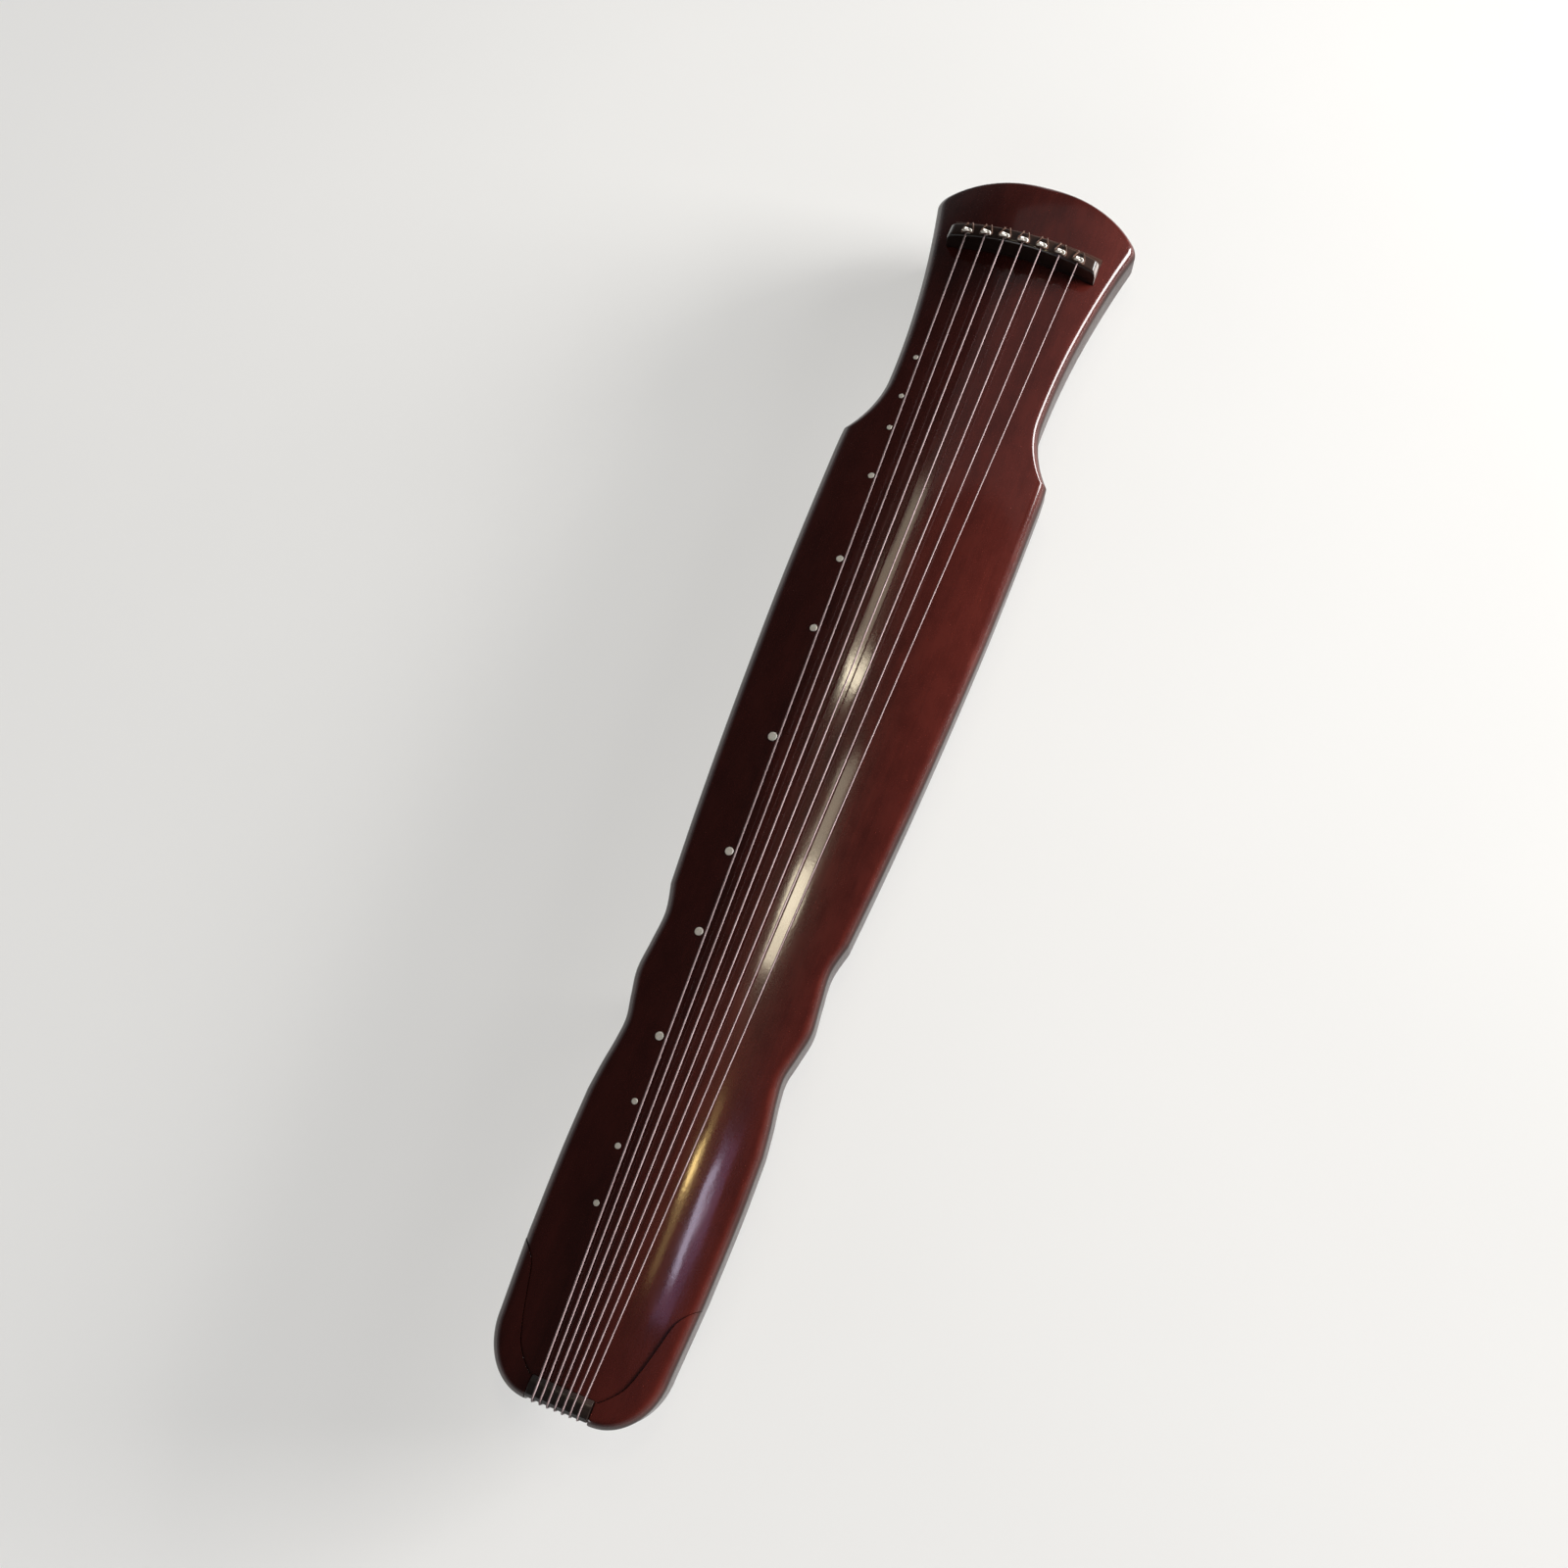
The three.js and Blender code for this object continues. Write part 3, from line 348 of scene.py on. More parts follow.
def frames(path):
    """Across and up at each point of a path, carried along without twist."""
    ahead = np.gradient(path, axis=0)
    ahead /= np.linalg.norm(ahead, axis=1)[:, None]
    side = np.array([0.0, 1.0, 0.0])
    sides = []
    for direction in ahead:
        side = side - direction * (side @ direction)
        side = side / np.linalg.norm(side)
        sides.append(side)
    sides = np.array(sides)
    return sides, np.cross(ahead, sides)


def tube(path, radius, sides):
    path = np.asarray(path, float)
    side, up = frames(path)
    angle = whole(sides)[None, :, None]
    radius = np.broadcast_to(radius, len(path))[:, None, None]
    return loft(path[:, None] + radius * (np.cos(angle) * side[:, None] + np.sin(angle) * up[:, None]))


def lengths(path):
    """Length of a path up to each of its points."""
    return np.concatenate([[0], np.cumsum(np.linalg.norm(np.diff(path, axis=0), axis=1))])


def resample(path, step):
    run = lengths(path)
    places = np.linspace(0, run[-1], max(2, round(run[-1] / step)))
    return np.stack([np.interp(places, run, path[:, axis]) for axis in range(3)], -1)


def cut(piece, shapes, crease=35, operation="DIFFERENCE"):
    """Cuts piece with each shape in turn: an object or its points and faces."""
    tools = [item if isinstance(item, bpy.types.Object) else make("tool", *item) for item in shapes]
    for cutter in tools:
        step = piece.modifiers.new("cut", "BOOLEAN")
        step.operation = operation
        step.object = cutter
        step.solver = "MANIFOLD"
    bpy.context.view_layer.update()
    graph = bpy.context.evaluated_depsgraph_get()
    mesh = bpy.data.meshes.new_from_object(piece.evaluated_get(graph))
    piece.modifiers.clear()
    piece.data = mesh
    for cutter in tools:
        bpy.data.objects.remove(cutter)
    shade(piece, crease)
    return piece


def place(piece, slot_name, *nodes, body="root"):
    """Puts a piece on its body, in the place of its CAD nodes."""
    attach(piece, body)
    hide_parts(*nodes)


# Curves

def spline(points, count):
    """A curve through points, evenly spaced in its parameter."""
    points = np.asarray(points, float)
    last = len(points) - 1
    run = np.linspace(0, last, count + 1)
    start = np.minimum(run.astype(int), last - 1)
    w = (run - start)[:, None]
    before, first, second, after = (points[np.clip(start + step, 0, last)] for step in (-1, 0, 1, 2))
    leave, arrive = (second - before) / 2, (after - first) / 2
    cubic = 2 * first - 2 * second + leave + arrive
    square = 3 * second - 3 * first - 2 * leave - arrive
    return ((cubic * w + square) * w + leave) * w + first


def between(t, low, high, first, second):
    return (high - t) / (high - low) * first + (t - low) / (high - low) * second


def even_spline(points, count):
    """A curve through points whose bends stay tight where the points are close together."""
    points = np.asarray(points, float)
    points = np.concatenate([[2 * points[0] - points[1]], points, [2 * points[-1] - points[-2]]])
    knots = np.concatenate([[0], np.cumsum(np.linalg.norm(np.diff(points, axis=0), axis=1) ** 0.5)])
    made = []
    for index in range(1, len(points) - 2):
        p, k = points[index - 1:index + 3], knots[index - 1:index + 3]
        t = np.linspace(k[1], k[2], count, endpoint=False)[:, None]
        a = [between(t, k[n], k[n + 1], p[n], p[n + 1]) for n in range(3)]
        b = [between(t, k[n], k[n + 2], a[n], a[n + 1]) for n in range(2)]
        made.append(between(t, k[1], k[2], *b))
    return np.concatenate([*made, points[-2:-1]])


# Outline of one side, from the middle of the forehead to the middle of the tail

def forehead():
    half = HEAD_HALF * FOREHEAD_FLATNESS
    end = math.asin(HEAD_HALF / half)
    depth = FOREHEAD_DEPTH / (1 - math.cos(end))
    angle = np.linspace(0, end, 55)
    return np.stack([-HEAD_REACH + depth * (1 - np.cos(angle)), half * np.sin(angle)], -1)


def quadratic(first, control, last, count):
    t = np.linspace(0, 1, count)[:, None]
    return (1 - t) ** 2 * first + 2 * t * (1 - t) * control + t ** 2 * last


def head():
    """Forehead and neck flank, with the corner between them rounded."""
    corner = np.array([HEAD_CORNER_U, HEAD_HALF])
    front = forehead()
    flank = quadratic(corner, np.array([NECK_BEND_U, NECK_HALF]), np.array([NECK_U, NECK_HALF]), 61)
    ends = []
    for side in (front[::-1], flank):
        run = lengths(side)
        ends.append(np.array([np.interp(HEAD_ROUND, run, side[:, axis]) for axis in (0, 1)]))
    front = front[front[:, 0] < ends[0][0] - 0.5]
    flank = flank[flank[:, 0] > ends[1][0] + 0.5]
    return np.concatenate([front, quadratic(ends[0], corner, ends[1], 9), flank])


def crescent():
    """The concave round from the neck to the point of the shoulder."""
    run, rise = SHOULDER_U - NECK_U, SHOULDER_HALF - NECK_HALF
    radius = (run * run + rise * rise) / (2 * rise)
    angle = np.linspace(0, math.asin(run / radius), 31)
    return np.stack([NECK_U + radius * np.sin(angle), NECK_HALF + radius * (1 - np.cos(angle))], -1)


def shared(shares, count, before=()):
    """A curve through points given as shares of the string length and the shoulders' half width."""
    points = [(along * STRING_LENGTH, out * SHOULDER_HALF) for along, out in shares]
    return spline([*before, *points], count)


def tail_corner():
    start = TAIL_U - TAIL_CORNER
    angle = quarter(33)
    corner = np.stack([start + TAIL_CORNER * np.sin(angle),
                       TAIL_END_HALF + (TAIL_HALF - TAIL_END_HALF) * np.cos(angle)], -1)
    end = [(TAIL_U, TAIL_END_HALF * share) for share in np.linspace(1, 0, 9)[1:]]
    return np.concatenate([corner, end])


def body_outline():
    shoulder = (SHOULDER_U, SHOULDER_HALF)
    tail_start = np.array([[TAIL_U - TAIL_CORNER, TAIL_HALF]])
    tail_flank = shared(TAIL_FLANK, 15)
    straight = tail_flank[-1] + (tail_start[0] - tail_flank[-1]) * np.linspace(0, 1, 9)[1:, None]
    parts = [head(), crescent(), shared(FLANK, 84, [shoulder]), shared(WAIST, 104),
             np.concatenate([tail_flank, straight]), tail_corner()]
    return np.concatenate([part if index == 0 else part[1:] for index, part in enumerate(parts)])


OUTLINE = body_outline()


def half_at(u):
    """Half width of the body."""
    return float(np.interp(u, OUTLINE[:, 0], OUTLINE[:, 1]))


def face_z(u, y):
    """Height of the arched face."""
    head = np.maximum(0, -np.asarray(u, float) / HEAD_REACH)
    tail = np.maximum(0, (np.asarray(u, float) - HOLLOW_U[1]) / (TAIL_U - HOLLOW_U[1]))
    crown = CROWN_Z - FOREHEAD_FALL * head ** 2 - TAIL_FALL * tail ** 2
    return crown - ARCH_RISE * (np.asarray(y, float) / SHOULDER_HALF) ** 2


def bridge_top(y):
    return CROWN_Z + BRIDGE_HEIGHT - BRIDGE_ARCH * (np.asarray(y, float) / BRIDGE_HALF) ** 2


NUT_TOP = float(face_z(STRING_LENGTH, 0)) + NUT_PROUD


# Body plates: each rib's profile runs from the centre line out to the edge and back

def rib_start(u, y):
    """Where the rib of an outline point starts on the centre line; at both ends the ribs fan out."""
    tail = TAIL_U - TAIL_CORNER
    if u < HEAD_CORNER_U:
        return HEAD_CORNER_U + (u - HEAD_CORNER_U) * RIB_LEAN
    if u < tail:
        return u
    return tail + (u - tail + max(TAIL_END_HALF - y, 0)) * RIB_LEAN


def plate(profile):
    """A closed plate. For a rib of some reach, profile gives the insets of its points from the edge, and a
    function of u and y for their heights."""
    rows = []
    for index, (u, y) in enumerate(OUTLINE):
        start = rib_start(u, y)
        reach = math.hypot(u - start, y)
        insets, heights = profile(reach)
        share = insets / reach
        along, out = u + (start - u) * share, y * (1 - share)
        if index in (0, len(OUTLINE) - 1):
            out = out * 0
        rows.append(np.stack([along, out, heights(along, out)], -1))
    rows = np.array(rows)
    count, width = rows.shape[:2]
    grid = np.arange(count * width).reshape(count, width)
    quads = np.stack([grid[:-1, :-1], grid[:-1, 1:], grid[1:, 1:], grid[1:, :-1]], -1).reshape(-1, 4)
    left = at(rows[..., 0], rows[..., 1], rows[..., 2]).reshape(-1, 3)
    right = left * (1, -1, 1)
    faces = quads.tolist() + (quads[:, ::-1] + count * width).tolist()
    return np.concatenate([left, right]), faces


def arched(lift=0):
    """The top board's shape: the arched face, its round edge and the upright side."""
    steps = 27
    bend = quarter(11)[1:]

    def profile(reach):
        insets = np.concatenate([reach - (reach - TOP_RADIUS) * np.linspace(0, 1, steps),
                                 TOP_RADIUS * (1 - np.sin(bend)), [0, 0, reach]])

        def heights(u, y):
            z = face_z(u, y) + lift
            z[steps:-3] -= TOP_RADIUS * (1 - np.cos(bend))
            z[-3:] = [(z[-4] + JOINT_Z) / 2, JOINT_Z, JOINT_Z]
            return z
        return insets, heights
    return plate(profile)


def flat():
    """The bottom board's shape."""
    bend = quarter(7)
    edge = LEG_HEIGHT + BOTTOM_RADIUS * (1 - np.sin(bend))
    levels = np.concatenate([[JOINT_Z, JOINT_Z], edge, [LEG_HEIGHT]])

    def profile(reach):
        insets = np.concatenate([[reach, 0], BOTTOM_RADIUS * (1 - np.cos(bend)), [reach]])
        return insets, lambda u, y: levels
    return plate(profile)


# Cuts in the plates

def hollow():
    """The room inside the top board, less the pads over the sound holes and the blocks at the feet."""
    rings = []
    for u in np.linspace(*HOLLOW_U, 105):
        ys = (half_at(u) - SIDE_WALL) * np.array(CEILING_SHARES)
        zs = face_z(u, ys) - TOP_PLATE
        zs[0] = JOINT_Z - OVER
        zs[1] -= CEILING_CORNER
        middle = (0, float(face_z(u, 0)) - TOP_PLATE)
        ring = [*zip(ys, zs), middle, *zip(-ys[::-1], zs[::-1])]
        rings.append([at(u, y, z) for y, z in ring])
    blocks = []
    for share, length, width in SOUND_HOLES:
        blocks.append(slot(share * STRING_LENGTH, 0, length / 2 + PAD_MARGIN, width / 2 + PAD_MARGIN, PAD_MARGIN,
                           (CROWN_Z - PAD_DROP, CROWN_Z)))
    for y in ((FOOT_Y - FOOT_BLOCK, SHOULDER_HALF), (-SHOULDER_HALF, FOOT_BLOCK - FOOT_Y)):
        blocks.append(box((FOOT_U - FOOT_BLOCK, FOOT_U + FOOT_BLOCK), y, (LEG_HEIGHT, CROWN_Z)))
    return cut(make("hollow", *loft(rings)), blocks)


def shared_cuts():
    """Cuts that go through both plates: the peg pool, the nut's and the support's recess, the foot mortises."""
    half = NUT_HALF + GAP
    low, high = LEG_HEIGHT - OVER, CROWN_Z + OVER
    cuts = [slot(CORD_U, 0, *POOL_HALF, POOL_HALF[0] / 2, (low, POOL_CEILING), POOL_FLARE),
            box((TAIL_FACE_U - GAP, TAIL_U + OVER), (-half, half), (low, high)),
            box((TAIL_FACE_U - SUPPORT_THICKNESS - GAP, TAIL_U + OVER), (-half, half),
                (low, LEG_HEIGHT + SUPPORT_HEIGHT + GAP))]
    room = FOOT_TENON + GAP
    for side in (1, -1):
        cuts.append(post(FOOT_U, side * FOOT_Y, room, room, (low, FOOT_TENON_TOP + GAP)))
    return cuts


def groove():
    """The groove across the face that the bridge and the cord strip stand in."""
    half, high = BRIDGE_HALF + GAP, CROWN_Z + BRIDGE_HEIGHT
    start, end = -STRIP_BACK - GAP, BRIDGE_FRONT + GAP

    def section(y):
        low = face_z(0, y) - GROOVE_DEPTH
        return [(start, low), (end, low), (end, high), (start, high)]
    return across(np.linspace(-half, half, GROOVE_PLACES), section)


def tongue_niche():
    half = HEAD_REACH / 2
    return slot(-HEAD_REACH + NICHE_DEPTH + GAP - half, 0, half, NICHE_HALF, NICHE_CORNER,
                (JOINT_Z, JOINT_Z + NICHE_HEIGHT))


def nut_recess():
    half = NUT_HALF + GAP
    return box((STRING_LENGTH - NUT_BACK - GAP, TAIL_U + OVER), (-half, half),
               (NUT_TOP - NUT_PROUD - NUT_DEPTH - GAP, CROWN_Z + OVER))


def crown_region(side, gap):
    """What lies within a crown corner's inner edge; gap makes it wider all round."""
    edge = [(TAIL_U - before * TAIL_CORNER - gap, out * TAIL_HALF - gap) for before, out in CROWN_EDGE]
    nut_side = NUT_HALF + CROWN_NUT_GAP - gap
    inner = spline([*edge, (STRING_LENGTH - NUT_BACK - gap, nut_side)], 70)
    outer = [(TAIL_U + OVER, nut_side), (TAIL_U + OVER, SHOULDER_HALF), (inner[0][0], SHOULDER_HALF)]
    ring = np.concatenate([inner, outer])
    base = float(face_z(TAIL_U, TAIL_HALF)) - CROWN_DEPTH - gap
    return loft([at(ring[:, 0], side * ring[:, 1], level) for level in (base, CROWN_Z + OVER)])


def stud_place(index):
    """u, y and radius of a stud; the studs follow the first string."""
    share = STUD_SHARES[index]
    string_y = MIDDLE_STRING * (BRIDGE_SPACING + (NUT_SPACING - BRIDGE_SPACING) * share)
    y = string_y + STRING_DIAMETERS[0] / 2 + STUD_OFFSET
    return share * STRING_LENGTH, y, STUD_DIAMETER * STUD_SIZES[index] / 2


def stud_shape(index, profile):
    """A disc let into the arched face; profile gives (radius, height above the face)."""
    u, y, _ = stud_place(index)
    tilt = -math.atan(2 * ARCH_RISE * y / SHOULDER_HALF ** 2)
    angle = whole(48)
    rings = []
    for radius, height in profile:
        ring = np.stack([radius * np.cos(angle), radius * np.sin(angle), np.full(48, float(height))], -1)
        tilted = ring @ np.array(Matrix.Rotation(tilt, 3, "X")).T
        rings.append(tilted + at(u, y, face_z(u, y)))
    return loft(rings)


def bridge_y(index):
    return BRIDGE_SPACING * (MIDDLE_STRING - index)


def nut_y(index):
    return NUT_SPACING * (MIDDLE_STRING - index)


# Finishes

class Nodes:
    """Adds nodes to a material or world. A link named _0 goes to the socket with that number."""

    def __init__(self, owner, shader="Principled BSDF"):
        owner.use_nodes = True
        self.owner = owner
        self.tree = owner.node_tree
        self.shader = self.tree.nodes[shader]
        self.where = self.tree.nodes.new("ShaderNodeTexCoord")

    def add(self, kind, settings=None, **links):
        node = self.tree.nodes.new("ShaderNode" + kind)
        for name, value in (settings or {}).items():
            setattr(node, name, value)
        for name, value in links.items():
            socket = node.inputs[int(name[1:])] if name[1:].isdigit() else node.inputs[name.replace("_", " ")]
            self.put(value, socket)
        return node

    def put(self, value, socket):
        if isinstance(value, bpy.types.NodeSocket):
            self.tree.links.new(value, socket)
        else:
            socket.default_value = value

    def noise(self, scale, detail=3.0, roughness=0.5, distortion=0.0):
        """A noise in object coordinates; scale is per metre, along x, y and z."""
        mapped = self.add("Mapping", Vector=self.where.outputs["Object"], Scale=scale)
        return self.add("TexNoise", Vector=mapped.outputs[0], Scale=1.0, Detail=detail, Roughness=roughness,
                        Distortion=distortion).outputs[0]

    def math(self, operation, first, second=0.0):
        return self.add("Math", {"operation": operation}, _0=first, _1=second).outputs[0]

    def spread(self, value, low, high, to_low=0.0, to_high=1.0):
        """Maps value from low and high to to_low and to_high, and no further."""
        return self.add("MapRange", Value=value, From_Min=low, From_Max=high,
                        To_Min=to_low, To_Max=to_high).outputs[0]

    def blend(self, share, first, second):
        return self.add("Mix", {"data_type": "RGBA"}, _0=share, _6=first, _7=second).outputs[2]

    def facing(self, axis):
        """How far the surface faces along x, y or z, as axis 0, 1 or 2."""
        return self.add("SeparateXYZ", Vector=self.where.outputs["Normal"]).outputs[axis]

    def bump(self, height, distance, normal=None):
        """distance is in millimetres."""
        links = {"Strength": 1.0, "Distance": distance * MM, "Height": height}
        if normal is not None:
            links["Normal"] = normal
        return self.add("Bump", **links).outputs[0]

    def shine(self, **sockets):
        for name, value in sockets.items():
            self.put(value, self.shader.inputs[name.replace("_", " ")])


def finish(name, **sockets):
    n = Nodes(bpy.data.materials.new(name))
    n.shine(**sockets)
    return n


def lacquer_finish():
    """Oxblood lacquer, lighter along the rim, partly as wear and partly as a painted highlight, and darkened to
    near black where it faces sideways or down, as painted shade.
    """
    n = finish("lacquer", Specular_IOR_Level=0.15, Coat_Roughness=0.085, Coat_IOR=1.6)
    streaks = n.noise((2.6, 16, 16), 3.0, 0.55, 0.4)
    mottle = n.noise((34, 60, 60), 4.0, 0.6)
    grain = n.noise((9, 330, 90), 4.0, 0.65)
    tone = n.math("ADD", n.math("MULTIPLY", streaks, 0.55), n.math("MULTIPLY", mottle, 0.3))
    tone = n.spread(n.math("ADD", tone, n.math("MULTIPLY", grain, 0.15)), 0.36, 0.66)
    colour = n.blend(tone, *LACQUER_FACE)
    facing = n.facing(2)
    # The rim band is lighter, partly as wear and partly as a painted highlight along the rounded edge
    rim = n.math("MULTIPLY", n.spread(facing, 0.93, 0.75), n.spread(facing, 0.1, 0.45))
    rim = n.math("MULTIPLY", rim, n.spread(mottle, 0.35, 0.65))
    colour = n.blend(n.math("MULTIPLY", rim, 0.3), colour, LACQUER_RIM_WEAR_AND_SHEEN)
    # Painted shade: faces that turn sideways or down are blended to a near-black copy of the lacquer
    colour = n.blend(n.spread(facing, 0.85, 0.3), colour, n.blend(tone, *LACQUER_SIDE_SHADE))
    dust = n.noise((700, 700, 700), 2.0)
    rough = n.math("ADD", n.spread(mottle, 0.3, 0.7, 0.22, 0.31), n.spread(dust, 0.62, 0.75, 0.0, 0.12))
    wave = n.bump(n.noise((7, 22, 22), 2.0), 0.5)
    skin = n.bump(n.noise((260, 330, 330), 2.0), 0.012, wave)
    fibre = n.bump(grain, 0.05, skin)
    n.shine(Base_Color=colour, Roughness=rough, Normal=fibre, Coat_Normal=skin,
            Coat_Weight=n.spread(facing, 0.4, 0.8, 0.08, 1.0))
    return n.owner


def wood_finish(name, scale, dark, light, rough, coat=0.0, depth=0.05, polish=0.12):
    """Wood with its grain along the axis of the smallest scale."""
    n = finish(name, Coat_Weight=coat, Coat_Roughness=polish)
    grain = n.noise(scale, 5.0, 0.62, 0.6)
    broad = n.noise(tuple(value / 7 for value in scale), 2.0, 0.5, 0.3)
    tone = n.math("ADD", n.math("MULTIPLY", grain, 0.6), n.math("MULTIPLY", broad, 0.4))
    pores = n.spread(n.noise(tuple(value * 2.3 for value in scale)), 0.55, 0.75)
    colour = n.blend(n.spread(tone, 0.35, 0.65), dark, light)
    colour = n.blend(n.math("MULTIPLY", pores, 0.5), colour, tuple(value * 0.45 for value in dark[:3]) + (1,))
    n.shine(Base_Color=colour, Roughness=n.spread(grain, 0.3, 0.7, rough - 0.05, rough + 0.08),
            Normal=n.bump(n.math("SUBTRACT", grain, pores), depth))
    return n.owner


def bridge_finish():
    """Near-black wood, brown where it faces up, and end faces made pale by a painted highlight."""
    n = Nodes(wood_finish("rosewood_across", ACROSS_GRAIN, *DARK_WOOD, 0.3, 0.9, 0.03, 0.05))
    n.shine(Specular_IOR_Level=0.25)
    base = n.shader.inputs["Base Color"]
    wood = base.links[0].from_socket
    cloud = n.noise((30, 60, 60))
    brown = n.blend(n.spread(cloud, 0.35, 0.65), *BRIDGE_UPPER_BROWN)
    colour = n.blend(n.spread(n.facing(2), 0.6, 0.9), wood, brown)
    # Painted highlight: the faces towards either end are blended to a pale colour
    end = n.spread(n.math("ABSOLUTE", n.facing(1)), 0.6, 0.9)
    n.put(n.blend(end, colour, BRIDGE_END_HIGHLIGHT), base)
    return n.owner


def shell_finish():
    """White shell with faint pink and green clouds."""
    n = finish("shell", Coat_Weight=0.6, Coat_Roughness=0.08)
    cloud = n.noise((380, 380, 380), 4.0, 0.6, 1.2)
    tint = n.noise((170, 230, 170), 3.0, 0.5, 2.0)
    colour = n.blend(n.spread(cloud, 0.35, 0.65), *SHELL_WHITE)
    colour = n.blend(n.spread(tint, 0.5, 0.7, 0.0, 0.5), colour, SHELL_PINK)
    colour = n.blend(n.spread(tint, 0.5, 0.3, 0.0, 0.45), colour, SHELL_GREEN)
    n.shine(Base_Color=colour, Roughness=n.spread(cloud, 0.3, 0.7, 0.2, 0.34), Normal=n.bump(cloud, 0.03))
    return n.owner


def string_finish():
    """A fine winding round the string, from the attribute that holds the length along it."""
    n = finish("string", Specular_IOR_Level=0.5)
    run = n.add("Attribute", {"attribute_name": "along"}).outputs["Fac"]
    wrap = n.math("SINE", n.math("MULTIPLY", run, TURN / WRAP_PITCH))
    hue = n.noise((90, 700, 700))
    colour = n.blend(n.spread(hue, 0.3, 0.7), *STRING_SILVER)
    colour = n.blend(n.spread(wrap, -1.0, -0.2, 0.3, 0.0), colour, STRING_WRAP)
    n.shine(Base_Color=colour, Roughness=n.spread(hue, 0.3, 0.7, 0.34, 0.46), Normal=n.bump(wrap, 0.02))
    return n.owner


def fibre_finish(name, dark, light, rough, sheen):
    """Silk or cotton thread."""
    n = finish(name, Sheen_Weight=sheen, Sheen_Roughness=0.4)
    hair = n.noise((900, 900, 900), 4.0, 0.7, 1.0)
    cloud = n.noise((160, 160, 160), 2.0)
    colour = n.blend(n.spread(n.math("ADD", hair, cloud), 0.75, 1.25), dark, light)
    n.shine(Base_Color=colour, Roughness=n.spread(hair, 0.3, 0.7, rough - 0.08, rough), Normal=n.bump(hair, 0.08))
    return n.owner


LACQUER = lacquer_finish()
BRIDGE_WOOD = bridge_finish()
TAIL_WOOD = wood_finish("rosewood_tail", ACROSS_GRAIN, *DARK_WOOD, 0.42, 0.15, 0.03)
UPRIGHT_WOOD = wood_finish("rosewood_upright", (340, 340, 12), *TURNED_WOOD, 0.36, 0.2)
STRIP_WOOD = wood_finish("rosewood_strip", (340, 12, 340), *RED_WOOD, 0.36, 0.2)
INNER_WOOD = wood_finish("inner_wood", (10, 230, 230), *BARE_WOOD, 0.75, 0.0, 0.15)
SHELL = shell_finish()
STRING = string_finish()
KNOT = fibre_finish("knot_silk", *KNOT_SILK, 0.7, 0.3)
CORD = fibre_finish("cord_silk", *CORD_SILK, 0.85, 0.35)


# Body

def wood_inside(piece, test):
    """Gives the faces whose centre, in millimetres, passes the test the plain inner wood."""
    piece.data.materials.clear()
    piece.data.materials.append(LACQUER)
    piece.data.materials.append(INNER_WOOD)
    for face in piece.data.polygons:
        face.material_index = int(test(face.center / MM))


def inside_body(centre):
    u = BRIDGE_X - centre.x
    if not HOLLOW_U[0] - 1 < u < HOLLOW_U[1] + 1:
        return False
    near_edge = half_at(u) - abs(centre.y) < SIDE_WALL - 1
    return not near_edge and centre.z < face_z(u, centre.y) - TOP_PLATE + 1.5


def make_top():
    piece = make("body_top", *arched(), LACQUER, BODY_CREASE)
    cuts = [hollow(), *shared_cuts(), crown_region(1, GAP), crown_region(-1, GAP), tongue_niche(), nut_recess()]
    bore = [(CORD_BORE, level) for level in (POOL_CEILING - OVER, CROWN_Z + OVER)]
    cuts += [turned(CORD_U, bridge_y(index), bore, 24) for index in range(STRINGS)]
    for index in range(len(STUD_SHARES)):
        radius = stud_place(index)[2] + STUD_CLEARANCE
        cuts.append(stud_shape(index, [(radius, -STUD_HOLE), (radius, OVER)]))
    cut(piece, [*cuts, groove()], BODY_CREASE)
    wood_inside(piece, inside_body)
    place(piece, "lacquer", "top_board")


def make_bottom():
    piece = make("body_bottom", *flat(), LACQUER, BODY_CREASE)
    cuts = shared_cuts()
    low = LEG_HEIGHT - OVER
    for share, length, width in SOUND_HOLES:
        cuts.append(slot(share * STRING_LENGTH, 0, length / 2, width / 2, width / 4, (low, JOINT_Z + OVER),
                         HOLE_FLARE))
    room_u, room_y, room_z = (size + GAP for size in GUARD_TENON)
    for side in (1, -1):
        cuts.append(post(CORD_U, side * GUARD_Y, room_u, room_y, (low, LEG_HEIGHT + room_z)))
    cut(piece, cuts, BODY_CREASE)
    wood_inside(piece, lambda centre: centre.z > JOINT_Z - 0.01 and inside_body(centre))
    place(piece, "lacquer", "bottom_board")


def make_crown(name, side):
    piece = make("crown_" + name, *arched(CROWN_PROUD), LACQUER, BODY_CREASE)
    cut(piece, [crown_region(side, 0)], BODY_CREASE, "INTERSECT")
    bevel = piece.modifiers.new("bevel", "BEVEL")
    bevel.width = CROWN_BEVEL * MM
    bevel.segments = 2
    bevel.limit_method = "ANGLE"
    bevel.angle_limit = math.radians(50)
    bevel.use_clamp_overlap = True
    place(piece, "lacquer", "crown_corner_" + name)


make_top()
make_bottom()
make_crown("left", 1)
make_crown("right", -1)


# Fittings

